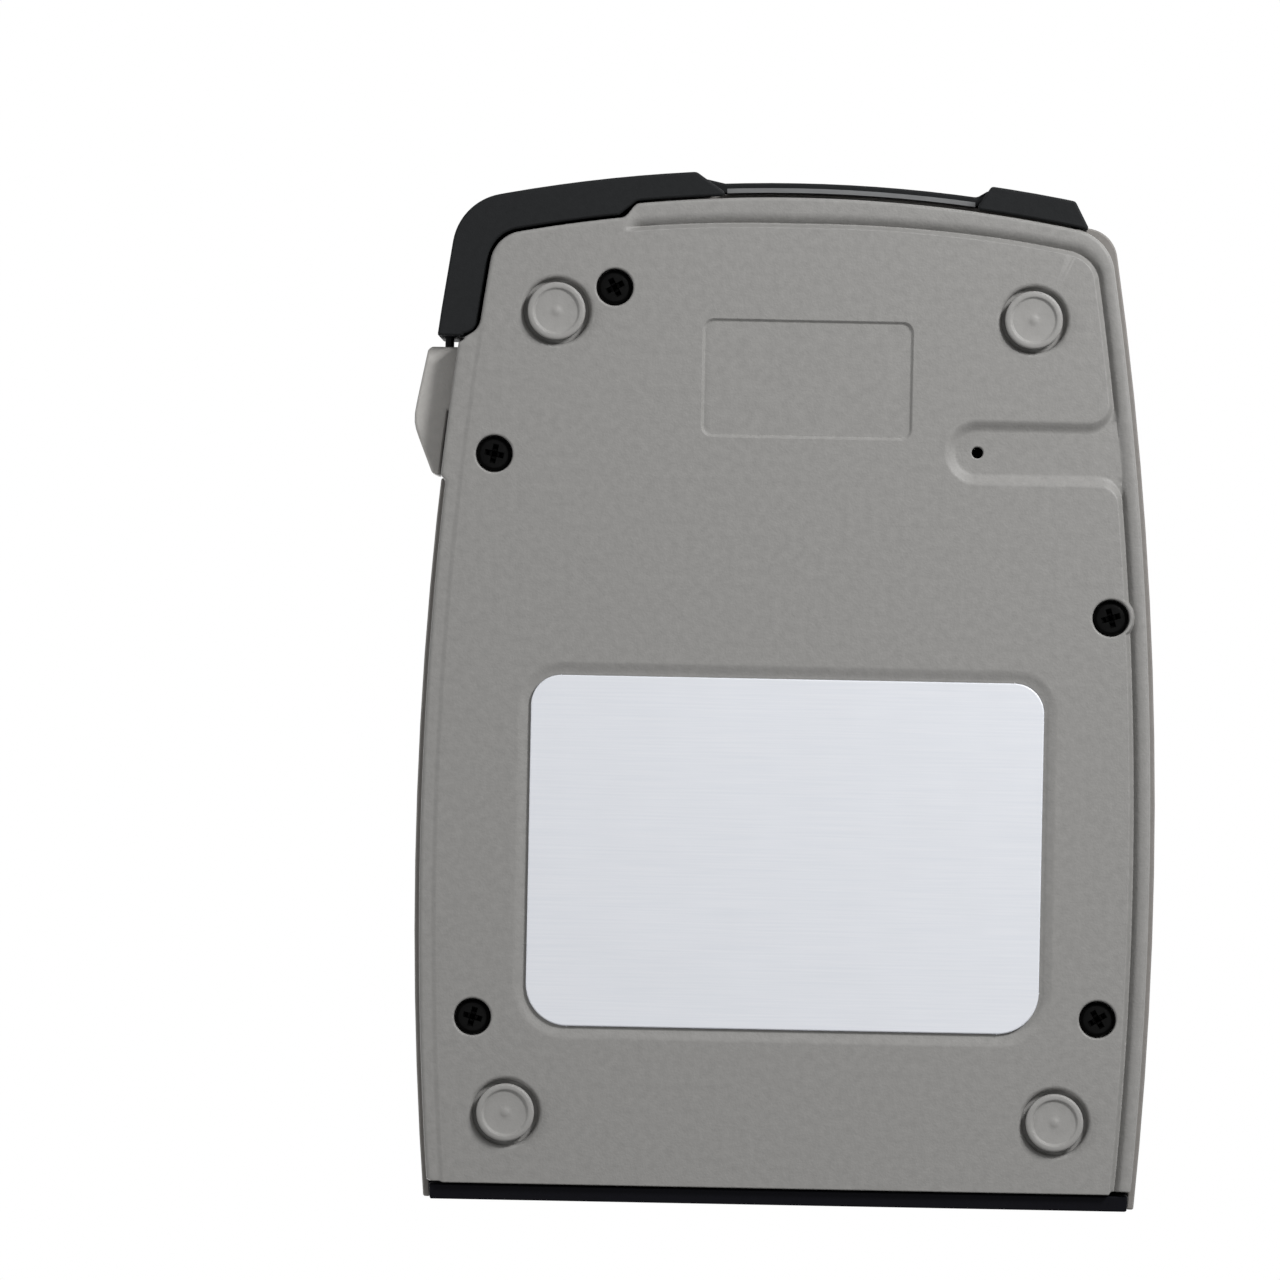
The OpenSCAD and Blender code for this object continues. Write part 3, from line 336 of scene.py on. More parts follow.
def case_edge(corner_r):
    """The plan of the case with its normals, from the lower +X end round the top to the lower -X end."""
    corner = corner_centre(corner_r)
    side_turn = heading(corner - side_centre)
    top_turn = heading(corner - top_centre)
    low_turn = math.asin((lower_y - widest_y) / side_r)
    half = arc(side_centre, side_r, low_turn, side_turn, pitch=0.5)
    half += arc(corner, corner_r, side_turn, top_turn, pitch=0.35)[1:]
    half += arc(top_centre, top_r, top_turn, math.pi / 2, pitch=0.5)[1:]
    mirrored = [(Vector((-p.x, p.y)), Vector((-n.x, n.y))) for p, n in reversed(half[:-1])]
    return half + mirrored


def eased(t):
    t = min(max(t, 0.0), 1.0)
    return t * t * (3 - 2 * t)


door_in = 3.0
door_ramp_x = (24.8, 27.6)
leg_round = 3.0
leg_drop = 23.5
leg_y = top_y - leg_drop
catch_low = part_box("release_catch")[0] / MM
catch_room = 1.0
lip_in = 0.15
lip_start = 0.8
lip_ramp = 0.5
lip_stop = 0.4


def cover_inset(point):
    """How far the cover's edge lies inside the case edge: more where the paper door wraps the corner."""
    if point.x < 0:
        return rim_in
    lip_from = eased((point.y - catch_low.y + lip_start) / lip_ramp)
    lip_to = eased((leg_y - lip_stop - point.y) / lip_stop)
    lip = lip_from * lip_to
    if point.y < leg_y + lip_stop / 2:
        return rim_in + (lip_in - rim_in) * lip
    rise = max(leg_y + leg_round - point.y, 0.0)
    by_leg = door_in - leg_round + math.sqrt(leg_round ** 2 - rise ** 2)
    along_ramp = (point.x - door_ramp_x[0]) / (door_ramp_x[1] - door_ramp_x[0])
    by_top = rim_in + (door_in - rim_in) * eased(along_ramp)
    return max(min(by_leg, by_top), rim_in)


channel_drop = 40.2
channel_y = top_y - channel_drop
channel_w = 8.4
channel_end_x = -28.8
channel_slope = 2.1
channel_steps = 40
mouth_r = 3.4
mouth_gap = 0.2
face_in_catch_side = 3.3
face_in_channel_side = 4.0
face_in_top = 4.9
face_bow = 0.55
bow_half = 35.0
face_edge = 1.2
catch_side_raised = 0.55
wall_w = 0.9
groove_w = 1.7
slope_margin = 0.05
groove_d = 1.0
channel_d = 1.0
boss_r = 3.6
boss_wall = 0.5
rim_edge = 0.6
rim_drop = 0.45
back_z = cover_low.z
rim_z = back_z + rim_drop
channel_z = back_z + channel_d


def rail_at(point, normal):
    """A place on the case edge: face inset, width of the groove's slope, groove and raised shares."""
    inset = cover_inset(point)
    by_side = face_in_catch_side if normal.x > 0 else face_in_channel_side
    by_top = face_in_top + face_bow * max(1 - abs(point.x) / bow_half, 0)
    face_in = max(by_side + (by_top - by_side) * max(normal.y, 0) ** 2, inset + face_edge)
    reach = min(face_in - inset - rim_edge - wall_w / 2 - slope_margin, groove_w)
    raised = (max(inset, rim_in) - rim_in) / (door_in - rim_in)
    groove = 1.0
    if point.x > 0 and point.y < leg_y + leg_round:
        groove = 0.0
        raised = max(raised, catch_side_raised)
    return point, normal, face_in, reach, groove, raised


rails = [rail_at(p, n) for p, n in case_edge(face_corner_r)]


def side_x(y, inset):
    """Place of the -X side arc, moved in by an inset."""
    return -(half_w - side_r + math.sqrt((side_r - inset) ** 2 - (y - widest_y) ** 2))


def face_line():
    """The wall round the raised face and along the channel: middle, normal down the wall, width, drop."""
    line = [(p - n * face_in, n, wall_w, rim_drop + groove * groove_d)
            for p, n, face_in, reach, groove, raised in rails]
    mirror_centre = Vector((-side_centre.x, widest_y))
    corners = []
    for way in (1, -1):
        y = channel_y + way * (channel_w / 2 + mouth_r)
        middle = Vector((side_x(y, face_in_channel_side + mouth_r), y))
        corners.append((middle, heading(middle - mirror_centre) % (2 * math.pi)))
    (upper, upper_turn), (lower, lower_turn) = corners
    upper_round = arc(upper, mouth_r, upper_turn, 1.5 * math.pi, pitch=0.25)
    lower_round = arc(lower, mouth_r, math.pi / 2, lower_turn, pitch=0.25)
    above = [q for q in line if q[0].x > 0 or q[0].y > upper_round[0][0].y + mouth_gap]
    below = [q for q in line if q[0].x < 0 and q[0].y < lower_round[-1][0].y - mouth_gap]
    run = channel_end_x - upper.x
    steps = [upper.x + run * i / channel_steps for i in range(1, channel_steps)]
    out = [(Vector((x, channel_y + channel_w / 2)), Vector((0, -1))) for x in steps]
    back = [(Vector((x, channel_y - channel_w / 2)), Vector((0, 1))) for x in reversed(steps)]
    end_middle = (channel_end_x, channel_y)
    end = arc(end_middle, channel_w / 2, math.pi / 2, -math.pi / 2, pitch=0.3, inward=True)
    wider = channel_slope - wall_w
    deeper = rim_drop + groove_d - channel_d
    shares = [eased(i / len(upper_round)) for i in range(len(upper_round))]
    shares += [1.0] * len(out + end + back)
    shares += [1 - eased(i / len(lower_round)) for i in range(len(lower_round))]
    mouth = [(p, n, wall_w + wider * share, channel_d + deeper * (1 - share))
             for (p, n), share in zip(upper_round + out + end + back + lower_round, shares)]
    return above + mouth + below


step_line = face_line()


def near_tree(points):
    tree = kdtree.KDTree(len(points))
    for i, p in enumerate(points):
        tree.insert(p.to_3d(), i)
    tree.balance()
    return tree


wall_tree = near_tree([q[0] for q in step_line])
rail_tree = near_tree([q[0] for q in rails])


def ramp(t, soft=0.35):
    """From 0 to 1 along a straight slope with rounded ends."""
    t = min(max(t, 0.0), 1.0)
    if t > 0.5:
        return 1 - ramp(1 - t)
    return t * t / (2 * soft * (1 - soft)) if t < soft else (t - soft / 2) / (1 - soft)


def step_level(point):
    """Level of the face, the wall, the groove or the rim under a point of the plan."""
    near, way, width, drop = step_line[wall_tree.find(point.to_3d())[1]]
    wall = drop * ramp((point - near).dot(way) / width + 0.5)
    edge_point, normal, face_in, reach, groove, raised = rails[rail_tree.find(point.to_3d())[1]]
    up_slope = (face_in - wall_w / 2 - (edge_point - point).dot(normal)) / reach
    slope = rim_drop + groove * groove_d * (1 - min(max(up_slope, 0.0), 1.0)) ** 2
    from_screw = min((point - spot).length for spot in screw_spots)
    boss = (rim_drop + groove_d) * ramp((from_screw - boss_r) / boss_wall + 0.5)
    return back_z + (1 - raised) * min(wall, slope, boss)


plan = []
drops = []
plan_edges = []


def add_line(points, drop=0.0, closed=False):
    """A line of the skin that is pressed in below the face's own relief by a drop."""
    first = len(plan)
    plan.extend(points)
    drops.extend([drop] * len(points))
    last = len(plan) - 1
    plan_edges.extend((i, i + 1) for i in range(first, last))
    if closed:
        plan_edges.append((last, first))
    return list(range(first, last + 1))


def to_lower_edge(points):
    """The line with its two ends brought to the lower edge of the cover."""
    least_rise = 0.05
    kept = [p for p in points if p.y > lower_y + least_rise]
    return [Vector((points[0].x, lower_y))] + kept + [Vector((points[-1].x, lower_y))]


def ring(centre, radius, count):
    turns = [2 * math.pi * i / count for i in range(count)]
    return [Vector((centre[0] + radius * math.cos(a), centre[1] + radius * math.sin(a))) for a in turns]


for share in (0.0, 0.12, 0.25, 0.5, 0.75, 0.88, 1.0):
    add_line(to_lower_edge([p + n * (share - 0.5) * width for p, n, width, drop in step_line]))
for share in (0.1, 0.22, 0.38, 0.58, 0.8, 1.0):
    add_line(to_lower_edge([p - n * (face_in - wall_w / 2 - reach * share)
                            for p, n, face_in, reach, groove, raised in rails]))


def round_over(inside, radius):
    """Drop of a rounded edge at a distance inside it."""
    near = 1 - min(max(inside / radius, 0.0), 1.0)
    return radius * (1 - math.sqrt(1 - near ** 2))


edge = case_edge(rim_corner_r)
for share in (1.0, 0.6, 0.3, 0.1, 0.0):
    inset = rim_edge * share
    points = [p - n * (cover_inset(p) + inset) for p, n in edge]
    outline = to_lower_edge(points)
    outer_line = add_line(outline, round_over(inset, rim_edge))

low_edge = 0.2
rim_back = 0.5
rim_back_run = 3.0
hair = 0.02
for share in (1.0, 0.6, 0.3, 0.1):
    y = lower_y + low_edge * share
    inset = rim_in + hair
    add_line([Vector((side_x(y, inset) * side, y)) for side in (1, -1)], round_over(hair, rim_edge))


def round_rect(centre, width, length, low_r, high_r):
    """A rectangle with round corners, each point with its outward normal."""
    out = []
    for turn, (sx, sy) in enumerate(((1, 1), (-1, 1), (-1, -1), (1, -1))):
        r = high_r if sy > 0 else low_r
        middle = (centre[0] + sx * (width / 2 - r), centre[1] + sy * (length / 2 - r))
        out += arc(middle, r, turn * math.pi / 2, (turn + 1) * math.pi / 2, pitch=0.3)
    return out


plate_low, plate_high = (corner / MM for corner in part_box("name_plate"))
plate_middle = (plate_low + plate_high) / 2
plate_size = plate_high - plate_low
recess_middle = (-2.1, top_y - 29.3)
recess_w, recess_l = 32.5, 18.1
recess_r = 1.5
recess_wall, recess_d = 0.55, 0.45
recess_line = round_rect(recess_middle, recess_w, recess_l, recess_r, recess_r)
dish_out = 2.4
dish_low_r, dish_high_r = 7.6, 5.8
dish_wall, dish_d = 2.0, 0.5
plate_line = round_rect(plate_middle, plate_size.x + dish_out, plate_size.y + dish_out,
                        dish_low_r, dish_high_r)
land_in = 1.2
land_low_r, land_high_r = 5.9, 4.1
land_wall = 0.2
land_line = round_rect(plate_middle, plate_size.x - land_in, plate_size.y - land_in,
                       land_low_r, land_high_r)
for line, width, depth in ((recess_line, recess_wall, recess_d), (plate_line, dish_wall, dish_d)):
    for share in (0.0, 0.2, 0.5, 0.8, 1.0):
        add_line([p - n * (share - 0.5) * width for p, n in line], depth * ramp(share), closed=True)

add_line([p + n * land_wall for p, n in land_line], dish_d, closed=True)
add_line([p for p, n in land_line], plate_size.z, closed=True)

foot_names = ["foot_1", "foot_2", "foot_3", "foot_4"]
foot_spots = [((sum(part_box(name), Vector()) / 2) / MM).xy for name in foot_names]


def solid_spots(node, apart_mm):
    """Middles, in plan, of the separate solids in a node."""
    groups = []
    for vertex in nodes[node].data.vertices:
        spot = vertex.co.xy / MM
        home = next((g for g in groups if (g[0] - spot).length < apart_mm), None)
        if home:
            home.append(spot)
        else:
            groups.append([spot])
    low = [(min(p.x for p in g), min(p.y for p in g)) for g in groups]
    high = [(max(p.x for p in g), max(p.y for p in g)) for g in groups]
    return [(Vector(a) + Vector(b)) / 2 for a, b in zip(low, high)]


screw_spots = solid_spots("case_screws", apart_mm=8.0)
foot_pocket_r, foot_pocket_z = 5.1, 2.6
foot_seat_r, foot_seat_z = 4.5, 2.0
peg_hole_r, peg_hole_z = 2.05, 3.4
screw_well_r, screw_well_z = 2.9, 4.2
screw_bore_r, screw_bore_z = 1.6, 8.0
pinhole_r, pinhole_z = 0.9, 9.0
foot_lip, screw_lip, pinhole_lip = 0.8, 0.35, 0.25
foot_sides, screw_sides, boss_sides, pinhole_sides = 56, 40, 64, 24
pinhole_spot = Vector((channel_end_x, channel_y))
foot_pocket = ((foot_pocket_r, foot_pocket_z), (foot_seat_r, foot_pocket_z), (foot_seat_r, foot_seat_z),
               (peg_hole_r, foot_seat_z), (peg_hole_r, peg_hole_z))
screw_well = ((screw_well_r, screw_well_z), (screw_bore_r, screw_well_z), (screw_bore_r, screw_bore_z))
holes = [(spot, foot_pocket_r, foot_lip, back_z, foot_pocket, foot_sides) for spot in foot_spots]
holes += [(spot, screw_well_r, screw_lip, back_z, screw_well, screw_sides) for spot in screw_spots]
for spot in screw_spots:
    for share in (-0.5, -0.25, 0.0, 0.25, 0.5):
        add_line(ring(spot, boss_r + boss_wall * share, boss_sides), closed=True)
pinhole = ((pinhole_r, pinhole_z),)
holes.append((pinhole_spot, pinhole_r, pinhole_lip, channel_z, pinhole, pinhole_sides))
for spot, radius, lip, level, profile, count in holes:
    for share in (1.0, 0.7, 0.4, 0.15, 0.0):
        add_line(ring(spot, radius + lip * share, count), closed=True)


def skin_level(point, level):
    """Level of the skin under a point: the lip of a hole lies deeper, and the lower edge is rounded over."""
    for spot, radius, lip, start, profile, count in holes:
        out = (point - spot).length - radius
        if out < lip:
            level = max(level, start + round_over(out, lip))
    return level + round_over(point.y - lower_y, low_edge)


net = geometry.delaunay_2d_cdt(plan, plan_edges, [], 1, 1e-5, True)
flat, flat_faces, from_points = net[0], net[2], net[3]
skin = []
for spot, sources in zip(flat, from_points):
    near_edge = -side_x(spot.y, rim_in) - abs(spot.x)
    drop = max(drops[i] for i in sources) if sources else round_over(near_edge, rim_edge)
    level = step_level(spot) + drop
    near_end = max(1 - (spot.y - lower_y) / rim_back_run, 0)
    back = rim_back * eased((level - back_z) / (rim_z - back_z)) * near_end
    skin.append((spot.x, spot.y + back, skin_level(spot, level)))

index_at = {}
for i, sources in enumerate(from_points):
    for source in sources:
        index_at[source] = i
outer_row = [index_at[i] for i in outer_line]
outer_ends = set(outer_row)
hole_slack, ring_slack, end_slack = 0.01, 0.03, 0.001


def outside(face):
    """A face in a hole, or one that bridges the hollow where the paper door wraps the corner."""
    middle = sum((flat[i] for i in face), Vector((0, 0))) / len(face)
    if any((middle - hole[0]).length < hole[1] - hole_slack for hole in holes):
        return True
    if not outer_ends.issuperset(face):
        return False
    sides = zip(outline, outline[1:] + outline[:1])
    across = [(a, b) for a, b in sides if (a.y > middle.y) != (b.y > middle.y)]
    beyond = [a.x + (middle.y - a.y) * (b.x - a.x) / (b.y - a.y) > middle.x for a, b in across]
    return sum(beyond) % 2 == 0


cover_faces = [list(face) for face in flat_faces if not outside(face)]
uses = {}
for face in cover_faces:
    for a, b in zip(face, face[1:] + face[:1]):
        pair = (min(a, b), max(a, b))
        uses[pair] = uses.get(pair, 0) + 1
open_ends = {i for pair, count in uses.items() if count == 1 for i in pair}


def add_strip(first, second, closed=True):
    """Faces between two rows of points of the same length."""
    count = len(first)
    for i in range(count if closed else count - 1):
        j = (i + 1) % count
        cover_faces.append([first[i], first[j], second[j], second[i]])


for spot, radius, lip, level, profile, count in holes:
    row = [i for i in open_ends if abs((flat[i] - spot).length - radius) < ring_slack]
    row.sort(key=lambda i: heading(flat[i] - spot))
    turns = [heading(flat[i] - spot) for i in row]
    for r, z in profile:
        start = len(skin)
        skin.extend((spot.x + r * math.cos(a), spot.y + r * math.sin(a), z) for a in turns)
        next_row = list(range(start, len(skin)))
        add_strip(row, next_row)
        row = next_row

wall_top = 12.0
catch_sill = 5.0
lower_sill = 4.2


def wall_level(point):
    """Top of the cover's side wall: it dips where the release catch passes."""
    by_catch = catch_low.y - catch_room < point.y < leg_y + catch_room
    return catch_sill if point.x > 0 and by_catch else wall_top


start = len(skin)
skin.extend((skin[i][0], skin[i][1], wall_level(Vector(skin[i][:2]))) for i in outer_row)
add_strip(outer_row, list(range(start, len(skin))), closed=False)
low_row = [i for i in open_ends if abs(flat[i].y - lower_y) < end_slack]
low_row.sort(key=lambda i: flat[i].x)
start = len(skin)
skin.extend((skin[i][0], skin[i][1], lower_sill) for i in low_row)
add_strip(low_row, list(range(start, len(skin))), closed=False)


def new_piece(name, points, faces, material):
    """A piece from points in millimetres, welded, with its faces pointing outwards."""
    mesh = bpy.data.meshes.new(name)
    mesh.from_pydata([Vector(p) * MM for p in points], [], faces)
    mesh.materials.append(material)
    shape = bmesh.new()
    shape.from_mesh(mesh)
    bmesh.ops.remove_doubles(shape, verts=shape.verts, dist=1e-6)
    bmesh.ops.recalc_face_normals(shape, faces=shape.faces)
    shape.to_mesh(mesh)
    shape.free()
    return put_in_scene(name, mesh)


def smooth_faces(piece, angle):
    """Smooth shading for a piece that is made from points."""
    shape = bmesh.new()
    shape.from_mesh(piece.data)
    shade_smooth(shape, angle)
    shape.to_mesh(piece.data)
    shape.free()
    weigh_normals(piece)


grey_plastic = moulded("grey_moulding", srgb(134, 133, 131), 0.06, 0.5, 0.42, 0.02, specular=0.25)
cover = new_piece("back_cover_finished", skin, cover_faces, grey_plastic)
outward = sum((f.normal.z * f.area for f in cover.data.polygons), 0.0)
if outward > 0:
    cover.data.flip_normals()
cover_wall = 2.0
well_wall_share = 0.1
well_margin = 2.4
wall = cover.modifiers.new("wall", "SOLIDIFY")
wall.thickness = cover_wall * MM
wall.offset = -1.0
full = cover.vertex_groups.new(name="full_wall")
full.add([v.index for v in cover.data.vertices
          if all((v.co.xy / MM - hole[0]).length > hole[1] + well_margin for hole in holes)], 1.0, "REPLACE")
wall.vertex_group = full.name
wall.thickness_vertex_group = well_wall_share
smooth_faces(cover, angle=40)
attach(cover, "case")
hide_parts("back_cover")

# Feet: four moulded discs pressed into pockets of the back face, each in a narrow moat.
# A raised ring carries the load, and the dished middle keeps the mark of the mould's gate.


def lathe(name, profile, count, material):
    """A turned piece on the Z axis from (radius, level) pairs."""
    points = []
    faces = []
    for r, z in profile:
        points += [(r * math.cos(2 * math.pi * i / count), r * math.sin(2 * math.pi * i / count), z)
                   for i in range(count)]
    for k in range(len(profile) - 1):
        for i in range(count):
            j = (i + 1) % count
            faces.append([k * count + i, k * count + j, (k + 1) * count + j, (k + 1) * count + i])
    return new_piece(name, points, faces, material)


def spread_tree():
    """Geometry nodes that set one piece on every point, turned at random about Z."""
    tree = bpy.data.node_groups.new("set_on_points", "GeometryNodeTree")
    face = tree.interface
    face.new_socket("Points", in_out="INPUT", socket_type="NodeSocketGeometry")
    face.new_socket("Piece", in_out="INPUT", socket_type="NodeSocketObject")
    face.new_socket("Largest Turn", in_out="INPUT", socket_type="NodeSocketFloat")
    face.new_socket("Seed", in_out="INPUT", socket_type="NodeSocketInt")
    face.new_socket("Finish", in_out="INPUT", socket_type="NodeSocketMaterial")
    face.new_socket("Pieces", in_out="OUTPUT", socket_type="NodeSocketGeometry")
    start = tree.nodes.new("NodeGroupInput")
    piece = tree.nodes.new("GeometryNodeObjectInfo")
    turn = tree.nodes.new("FunctionNodeRandomValue")
    angles = tree.nodes.new("ShaderNodeCombineXYZ")
    place = tree.nodes.new("GeometryNodeInstanceOnPoints")
    solid = tree.nodes.new("GeometryNodeRealizeInstances")
    finish = tree.nodes.new("GeometryNodeSetMaterial")
    end = tree.nodes.new("NodeGroupOutput")
    links = tree.links
    links.new(start.outputs["Piece"], piece.inputs["Object"])
    links.new(start.outputs["Largest Turn"], turn.inputs[3])
    links.new(start.outputs["Seed"], turn.inputs["Seed"])
    links.new(turn.outputs[1], angles.inputs["Z"])
    links.new(start.outputs["Points"], place.inputs["Points"])
    links.new(piece.outputs["Geometry"], place.inputs["Instance"])
    links.new(angles.outputs["Vector"], place.inputs["Rotation"])
    links.new(place.outputs["Instances"], solid.inputs["Geometry"])
    links.new(solid.outputs["Geometry"], finish.inputs["Geometry"])
    links.new(start.outputs["Finish"], finish.inputs["Material"])
    links.new(finish.outputs["Geometry"], end.inputs["Pieces"])
    return tree


set_on_points = spread_tree()


def spread(name, piece, spots, turn, seed, material):
    """One mesh of a piece set on every spot of the plan; the pattern piece is then put away."""
    carrier_mesh = bpy.data.meshes.new(name + "_spots")
    carrier_mesh.from_pydata([(p.x * MM, p.y * MM, 0.0) for p in spots], [], [])
    carrier = put_in_scene(name + "_spots", carrier_mesh)
    setter = carrier.modifiers.new("set", "NODES")
    setter.node_group = set_on_points
    given = {"Piece": piece, "Largest Turn": turn, "Seed": seed, "Finish": material}
    for socket in set_on_points.interface.items_tree:
        if socket.in_out == "INPUT" and socket.name in given:
            setter[socket.identifier] = given[socket.name]
    bpy.context.view_layer.update()
    depsgraph = bpy.context.evaluated_depsgraph_get()
    mesh = bpy.data.meshes.new_from_object(carrier.evaluated_get(depsgraph))
    mesh.name = name
    made = put_in_scene(name, mesh)
    carrier.modifiers.clear()
    bpy.data.objects.remove(carrier)
    bpy.data.objects.remove(piece)
    return made


pole_r = 0.001
foot_r = 4.5
peg_r = 2.0
gate_mark = [(pole_r, 0.16), (0.35, 0.17), (0.6, 0.26), (0.85, 0.34), (1.2, 0.36)]
raised_ring = [(3.2, 0.36), (3.36, 0.33), (3.46, 0.22), (3.56, 0.08), (3.7, 0.01), (3.85, 0.0),
               (4.1, 0.01), (4.3, 0.06), (4.43, 0.17), (foot_r, 0.34)]
peg = [(foot_r, foot_seat_z), (peg_r, foot_seat_z), (peg_r, 4.0), (pole_r, 4.0)]
foot_profile = gate_mark + raised_ring + peg
foot_plastic = moulded("foot_moulding", srgb(139, 138, 136), 0.04, 0.5, 0.4, 0.01, specular=0.3)
one_foot = lathe("one_foot", foot_profile, count=64, material=foot_plastic)
feet = spread("feet", one_foot, foot_spots, turn=0.0, seed=1, material=foot_plastic)
smooth_faces(feet, angle=40)
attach(feet, "case")
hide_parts(*foot_names)

# Case screws: five black steel screws with cross recesses, sunk in wells of the back face.
# Each came to rest at its own turn, and small flats of the recess catch the light.
head_z = 2.0
head_r, head_h = 2.7, 2.2
shank_r, screw_l = 1.5, 14.2
screw_black = moulded("black_zinc", srgb(9, 9, 9), 0.2, 0.32, 0.2, 0.006, specular=0.05)
head_dome = [(pole_r, 0.0), (1.6, 0.02), (2.1, 0.1), (2.5, 0.3), (2.65, 0.55), (head_r, 0.9)]
shank = [(head_r, head_h), (shank_r, head_h), (shank_r, screw_l), (pole_r, screw_l)]
screw_profile = [(r, head_z + z) for r, z in head_dome + shank]
one_screw = lathe("one_screw", screw_profile, count=48, material=screw_black)


def cross_cutter():
    """The cross recess: two crossed blades that narrow towards the bottom."""
    long_top, wide_top = 1.75, 0.5
    long_low, wide_low = 0.75, 0.3
    above, below = 0.4, 1.5
    shape = bmesh.new()
    for turn in (0, 1):
        blade = bmesh.ops.create_cube(shape, size=2.0)["verts"]
        for v in blade:
            low = v.co.z > 0
            size = (long_low, wide_low) if low else (long_top, wide_top)
            x, y = v.co.x * size[0], v.co.y * size[1]
            v.co = Vector((x, y, 0) if turn == 0 else (-y, x, 0)) * MM
            v.co.z = (head_z + below if low else head_z - above) * MM
    mesh = bpy.data.meshes.new("cross_cutter")
    shape.to_mesh(mesh)
    shape.free()
    return put_in_scene("cross_cutter", mesh)


cutter = cross_cutter()
recess = one_screw.modifiers.new("recess", "BOOLEAN")
recess.object = cutter
recess.solver = "EXACT"
recess.use_self = True
screws = spread("case_screws_finished", one_screw, screw_spots, turn=1.5, seed=4, material=screw_black)
bpy.data.objects.remove(cutter)
smooth_faces(screws, angle=35)
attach(screws, "case")
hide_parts("case_screws")

# Name plate: a thin bare silver film with round corners, stuck into its recess.
# The fine lines of its brushed finish run across.
plate_silver, tree, shader, place = new_finish("silver_film")
brush = cloud(tree, drawn_out(tree, place, 0.02), 0.3, 0.0, 1.0, detail=5.0)
tree.links.new(between(tree, brush, srgb(207, 210, 216), srgb(213, 215, 220)), shader.inputs["Base Color"])
tree.links.new(cloud(tree, place, 6.0, 0.4, 0.5), shader.inputs["Roughness"])
shader.inputs["Metallic"].default_value = 0.15
press_in(tree, shader, brush, 0.003)
soft_edged("name_plate", "name_plate_finished", 0.2, plate_silver, "case", parts=3)

# Paper door: the black lid over the printer, which wraps one corner of the case.
# It turns on two steel pins near the front face, and its slot lets the paper strip out.
door_black = moulded("door_moulding", srgb(34, 35, 36), 0.07, 0.6, 0.32, 0.016, specular=0.05)
soft_edged("paper_door", "paper_door_finished", 0.35, door_black, "door", weld_mm=0.16)

# Release catch: a grey wedge on the side below the door, pressed in to let the door go.
# A small coil spring inside pushes it back out. Its grey is lighter than the case's: a little of that is its
# own tone, the rest is painted light on its side, which the lamps reach only weakly.
catch_plastic_painted_light = moulded("catch_moulding_painted_light", srgb(168, 166, 163), 0.05, 0.5, 0.42, 0.02, specular=0.25)
soft_edged("release_catch", "release_catch_finished", 0.4, catch_plastic_painted_light, "catch", parts=3)
spring = soft_edged("catch_spring", "catch_spring_finished", 0, bright_steel, "case", angle=50)
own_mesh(spring)

# Studio: white surroundings, three soft lamps under the back face and two above the front.
# The floor shows only from above, because the photograph looks straight at the back face.
world = bpy.data.worlds.new("white_room")
bpy.context.scene.world = world
world.use_nodes = True
tree = world.node_tree
rays = tree.nodes.new("ShaderNodeLightPath")
seen = tree.nodes.new("ShaderNodeMath")
seen.operation = "MAXIMUM"
tree.links.new(rays.outputs["Is Camera Ray"], seen.inputs[0])
tree.links.new(rays.outputs["Is Glossy Ray"], seen.inputs[1])
shown = tree.nodes.new("ShaderNodeMath")
shown.operation = "MAXIMUM"
tree.links.new(seen.outputs[0], shown.inputs[0])
tree.links.new(rays.outputs["Is Transmission Ray"], shown.inputs[1])
light_on_case = 0.24
light_seen = 1.0
strength = tree.nodes.new("ShaderNodeMapRange")
strength.inputs["To Min"].default_value = light_on_case
strength.inputs["To Max"].default_value = light_seen
tree.links.new(shown.outputs[0], strength.inputs["Value"])
tree.links.new(strength.outputs["Result"], tree.nodes["Background"].inputs["Strength"])
tree.nodes["Background"].inputs["Color"].default_value = (1.0, 1.0, 1.0, 1.0)


def lamp(name, place, watts, size):
    light = bpy.data.lights.new(name, "AREA")
    light.energy = watts
    light.size = size
    holder = put_in_scene(name, light)
    holder.location = place
    holder.rotation_mode = "QUATERNION"
    holder.rotation_quaternion = Vector(place).to_track_quat("Z", "Y")


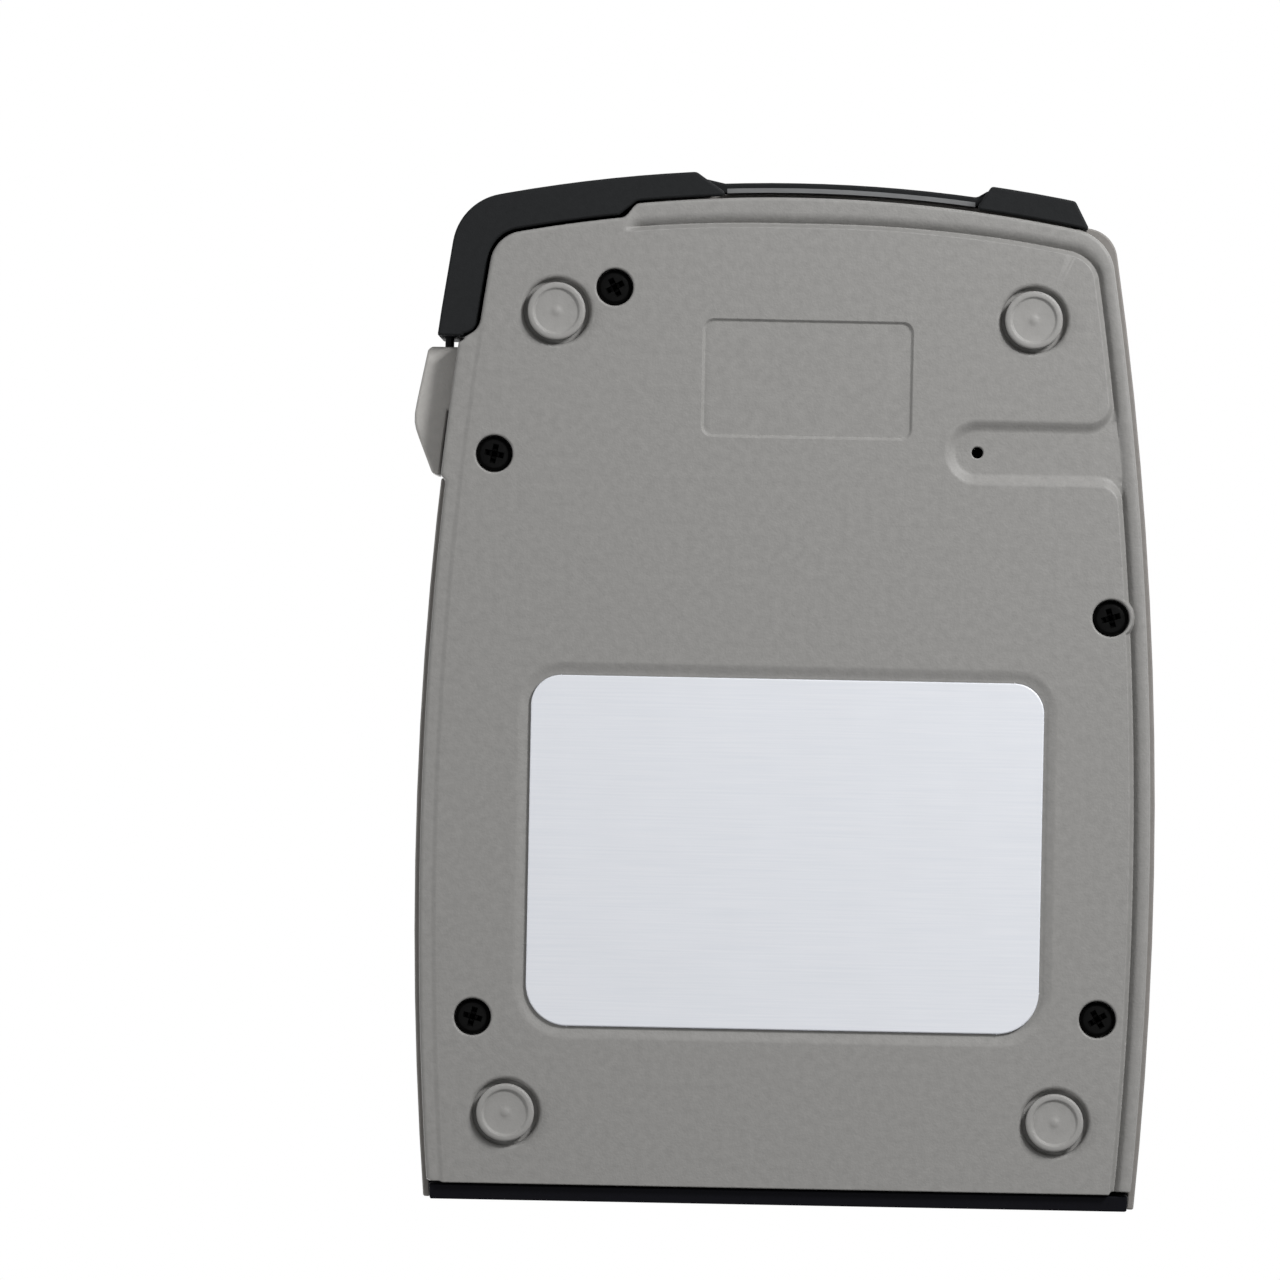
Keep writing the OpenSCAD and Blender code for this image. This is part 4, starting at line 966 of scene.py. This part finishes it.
lamp("back_key", (-0.4, 0.4, -0.4), 5.5, 0.16)
lamp("side_fill", (1.0, 0.1, -0.42), 3.4, 0.3)
lamp("back_fill", (-0.15, -0.4, -0.8), 0.5, 0.6)
lamp("front_key", (0.5, -0.5, 0.9), 8.0, 0.4)
lamp("front_fill", (-0.6, 0.5, 0.8), 3.0, 0.8)

floor_half = 3.0
floor_mesh = bpy.data.meshes.new("floor")
floor_corners = [(x * floor_half, y * floor_half, 0.0) for x, y in ((-1, -1), (1, -1), (1, 1), (-1, 1))]
floor_mesh.from_pydata(floor_corners, [], [(0, 1, 2, 3)])
floor = put_in_scene("floor", floor_mesh)
floor_pale = bpy.data.materials.new("pale_floor")
floor_pale.use_nodes = True
tree = floor_pale.node_tree
shader = tree.nodes["Principled BSDF"]
shader.inputs["Base Color"].default_value = srgb(240, 240, 240)
shader.inputs["Roughness"].default_value = 0.9
side = tree.nodes.new("ShaderNodeNewGeometry")
clear = tree.nodes.new("ShaderNodeBsdfTransparent")
choice = tree.nodes.new("ShaderNodeMixShader")
tree.links.new(side.outputs["Backfacing"], choice.inputs[0])
tree.links.new(shader.outputs[0], choice.inputs[1])
tree.links.new(clear.outputs[0], choice.inputs[2])
tree.links.new(choice.outputs[0], tree.nodes["Material Output"].inputs["Surface"])
floor_mesh.materials.append(floor_pale)
floor.visible_diffuse = False
floor.visible_glossy = False
floor.visible_transmission = False
floor.visible_shadow = False

# Camera: square to the back face, turned a degree against the case.
# It stands far off, so the case shows hardly any of its sides.
view_w = 199.46
distance = 2000.0
turn = 0.01935
sensor_w = 36.0
photo_px = 1280
camera_data = bpy.data.cameras.new("camera")
camera_data.sensor_width = sensor_w
camera_data.lens = sensor_w * distance / view_w
camera_data.shift_x = -152 / photo_px
camera_data.shift_y = 77 / photo_px
aim_x, aim_y = -0.7, -4.3
camera = put_in_scene("camera", camera_data)
camera.location = Vector((aim_x, aim_y, back_z - distance)) * MM
right = Vector((-math.cos(turn), math.sin(turn), 0.0))
up = Vector((math.sin(turn), math.cos(turn), 0.0))
camera.rotation_mode = "QUATERNION"
camera.rotation_quaternion = Matrix((right, up, Vector((0, 0, -1)))).transposed().to_quaternion()
bpy.context.scene.camera = camera
bpy.context.scene.view_settings.view_transform = "Standard"
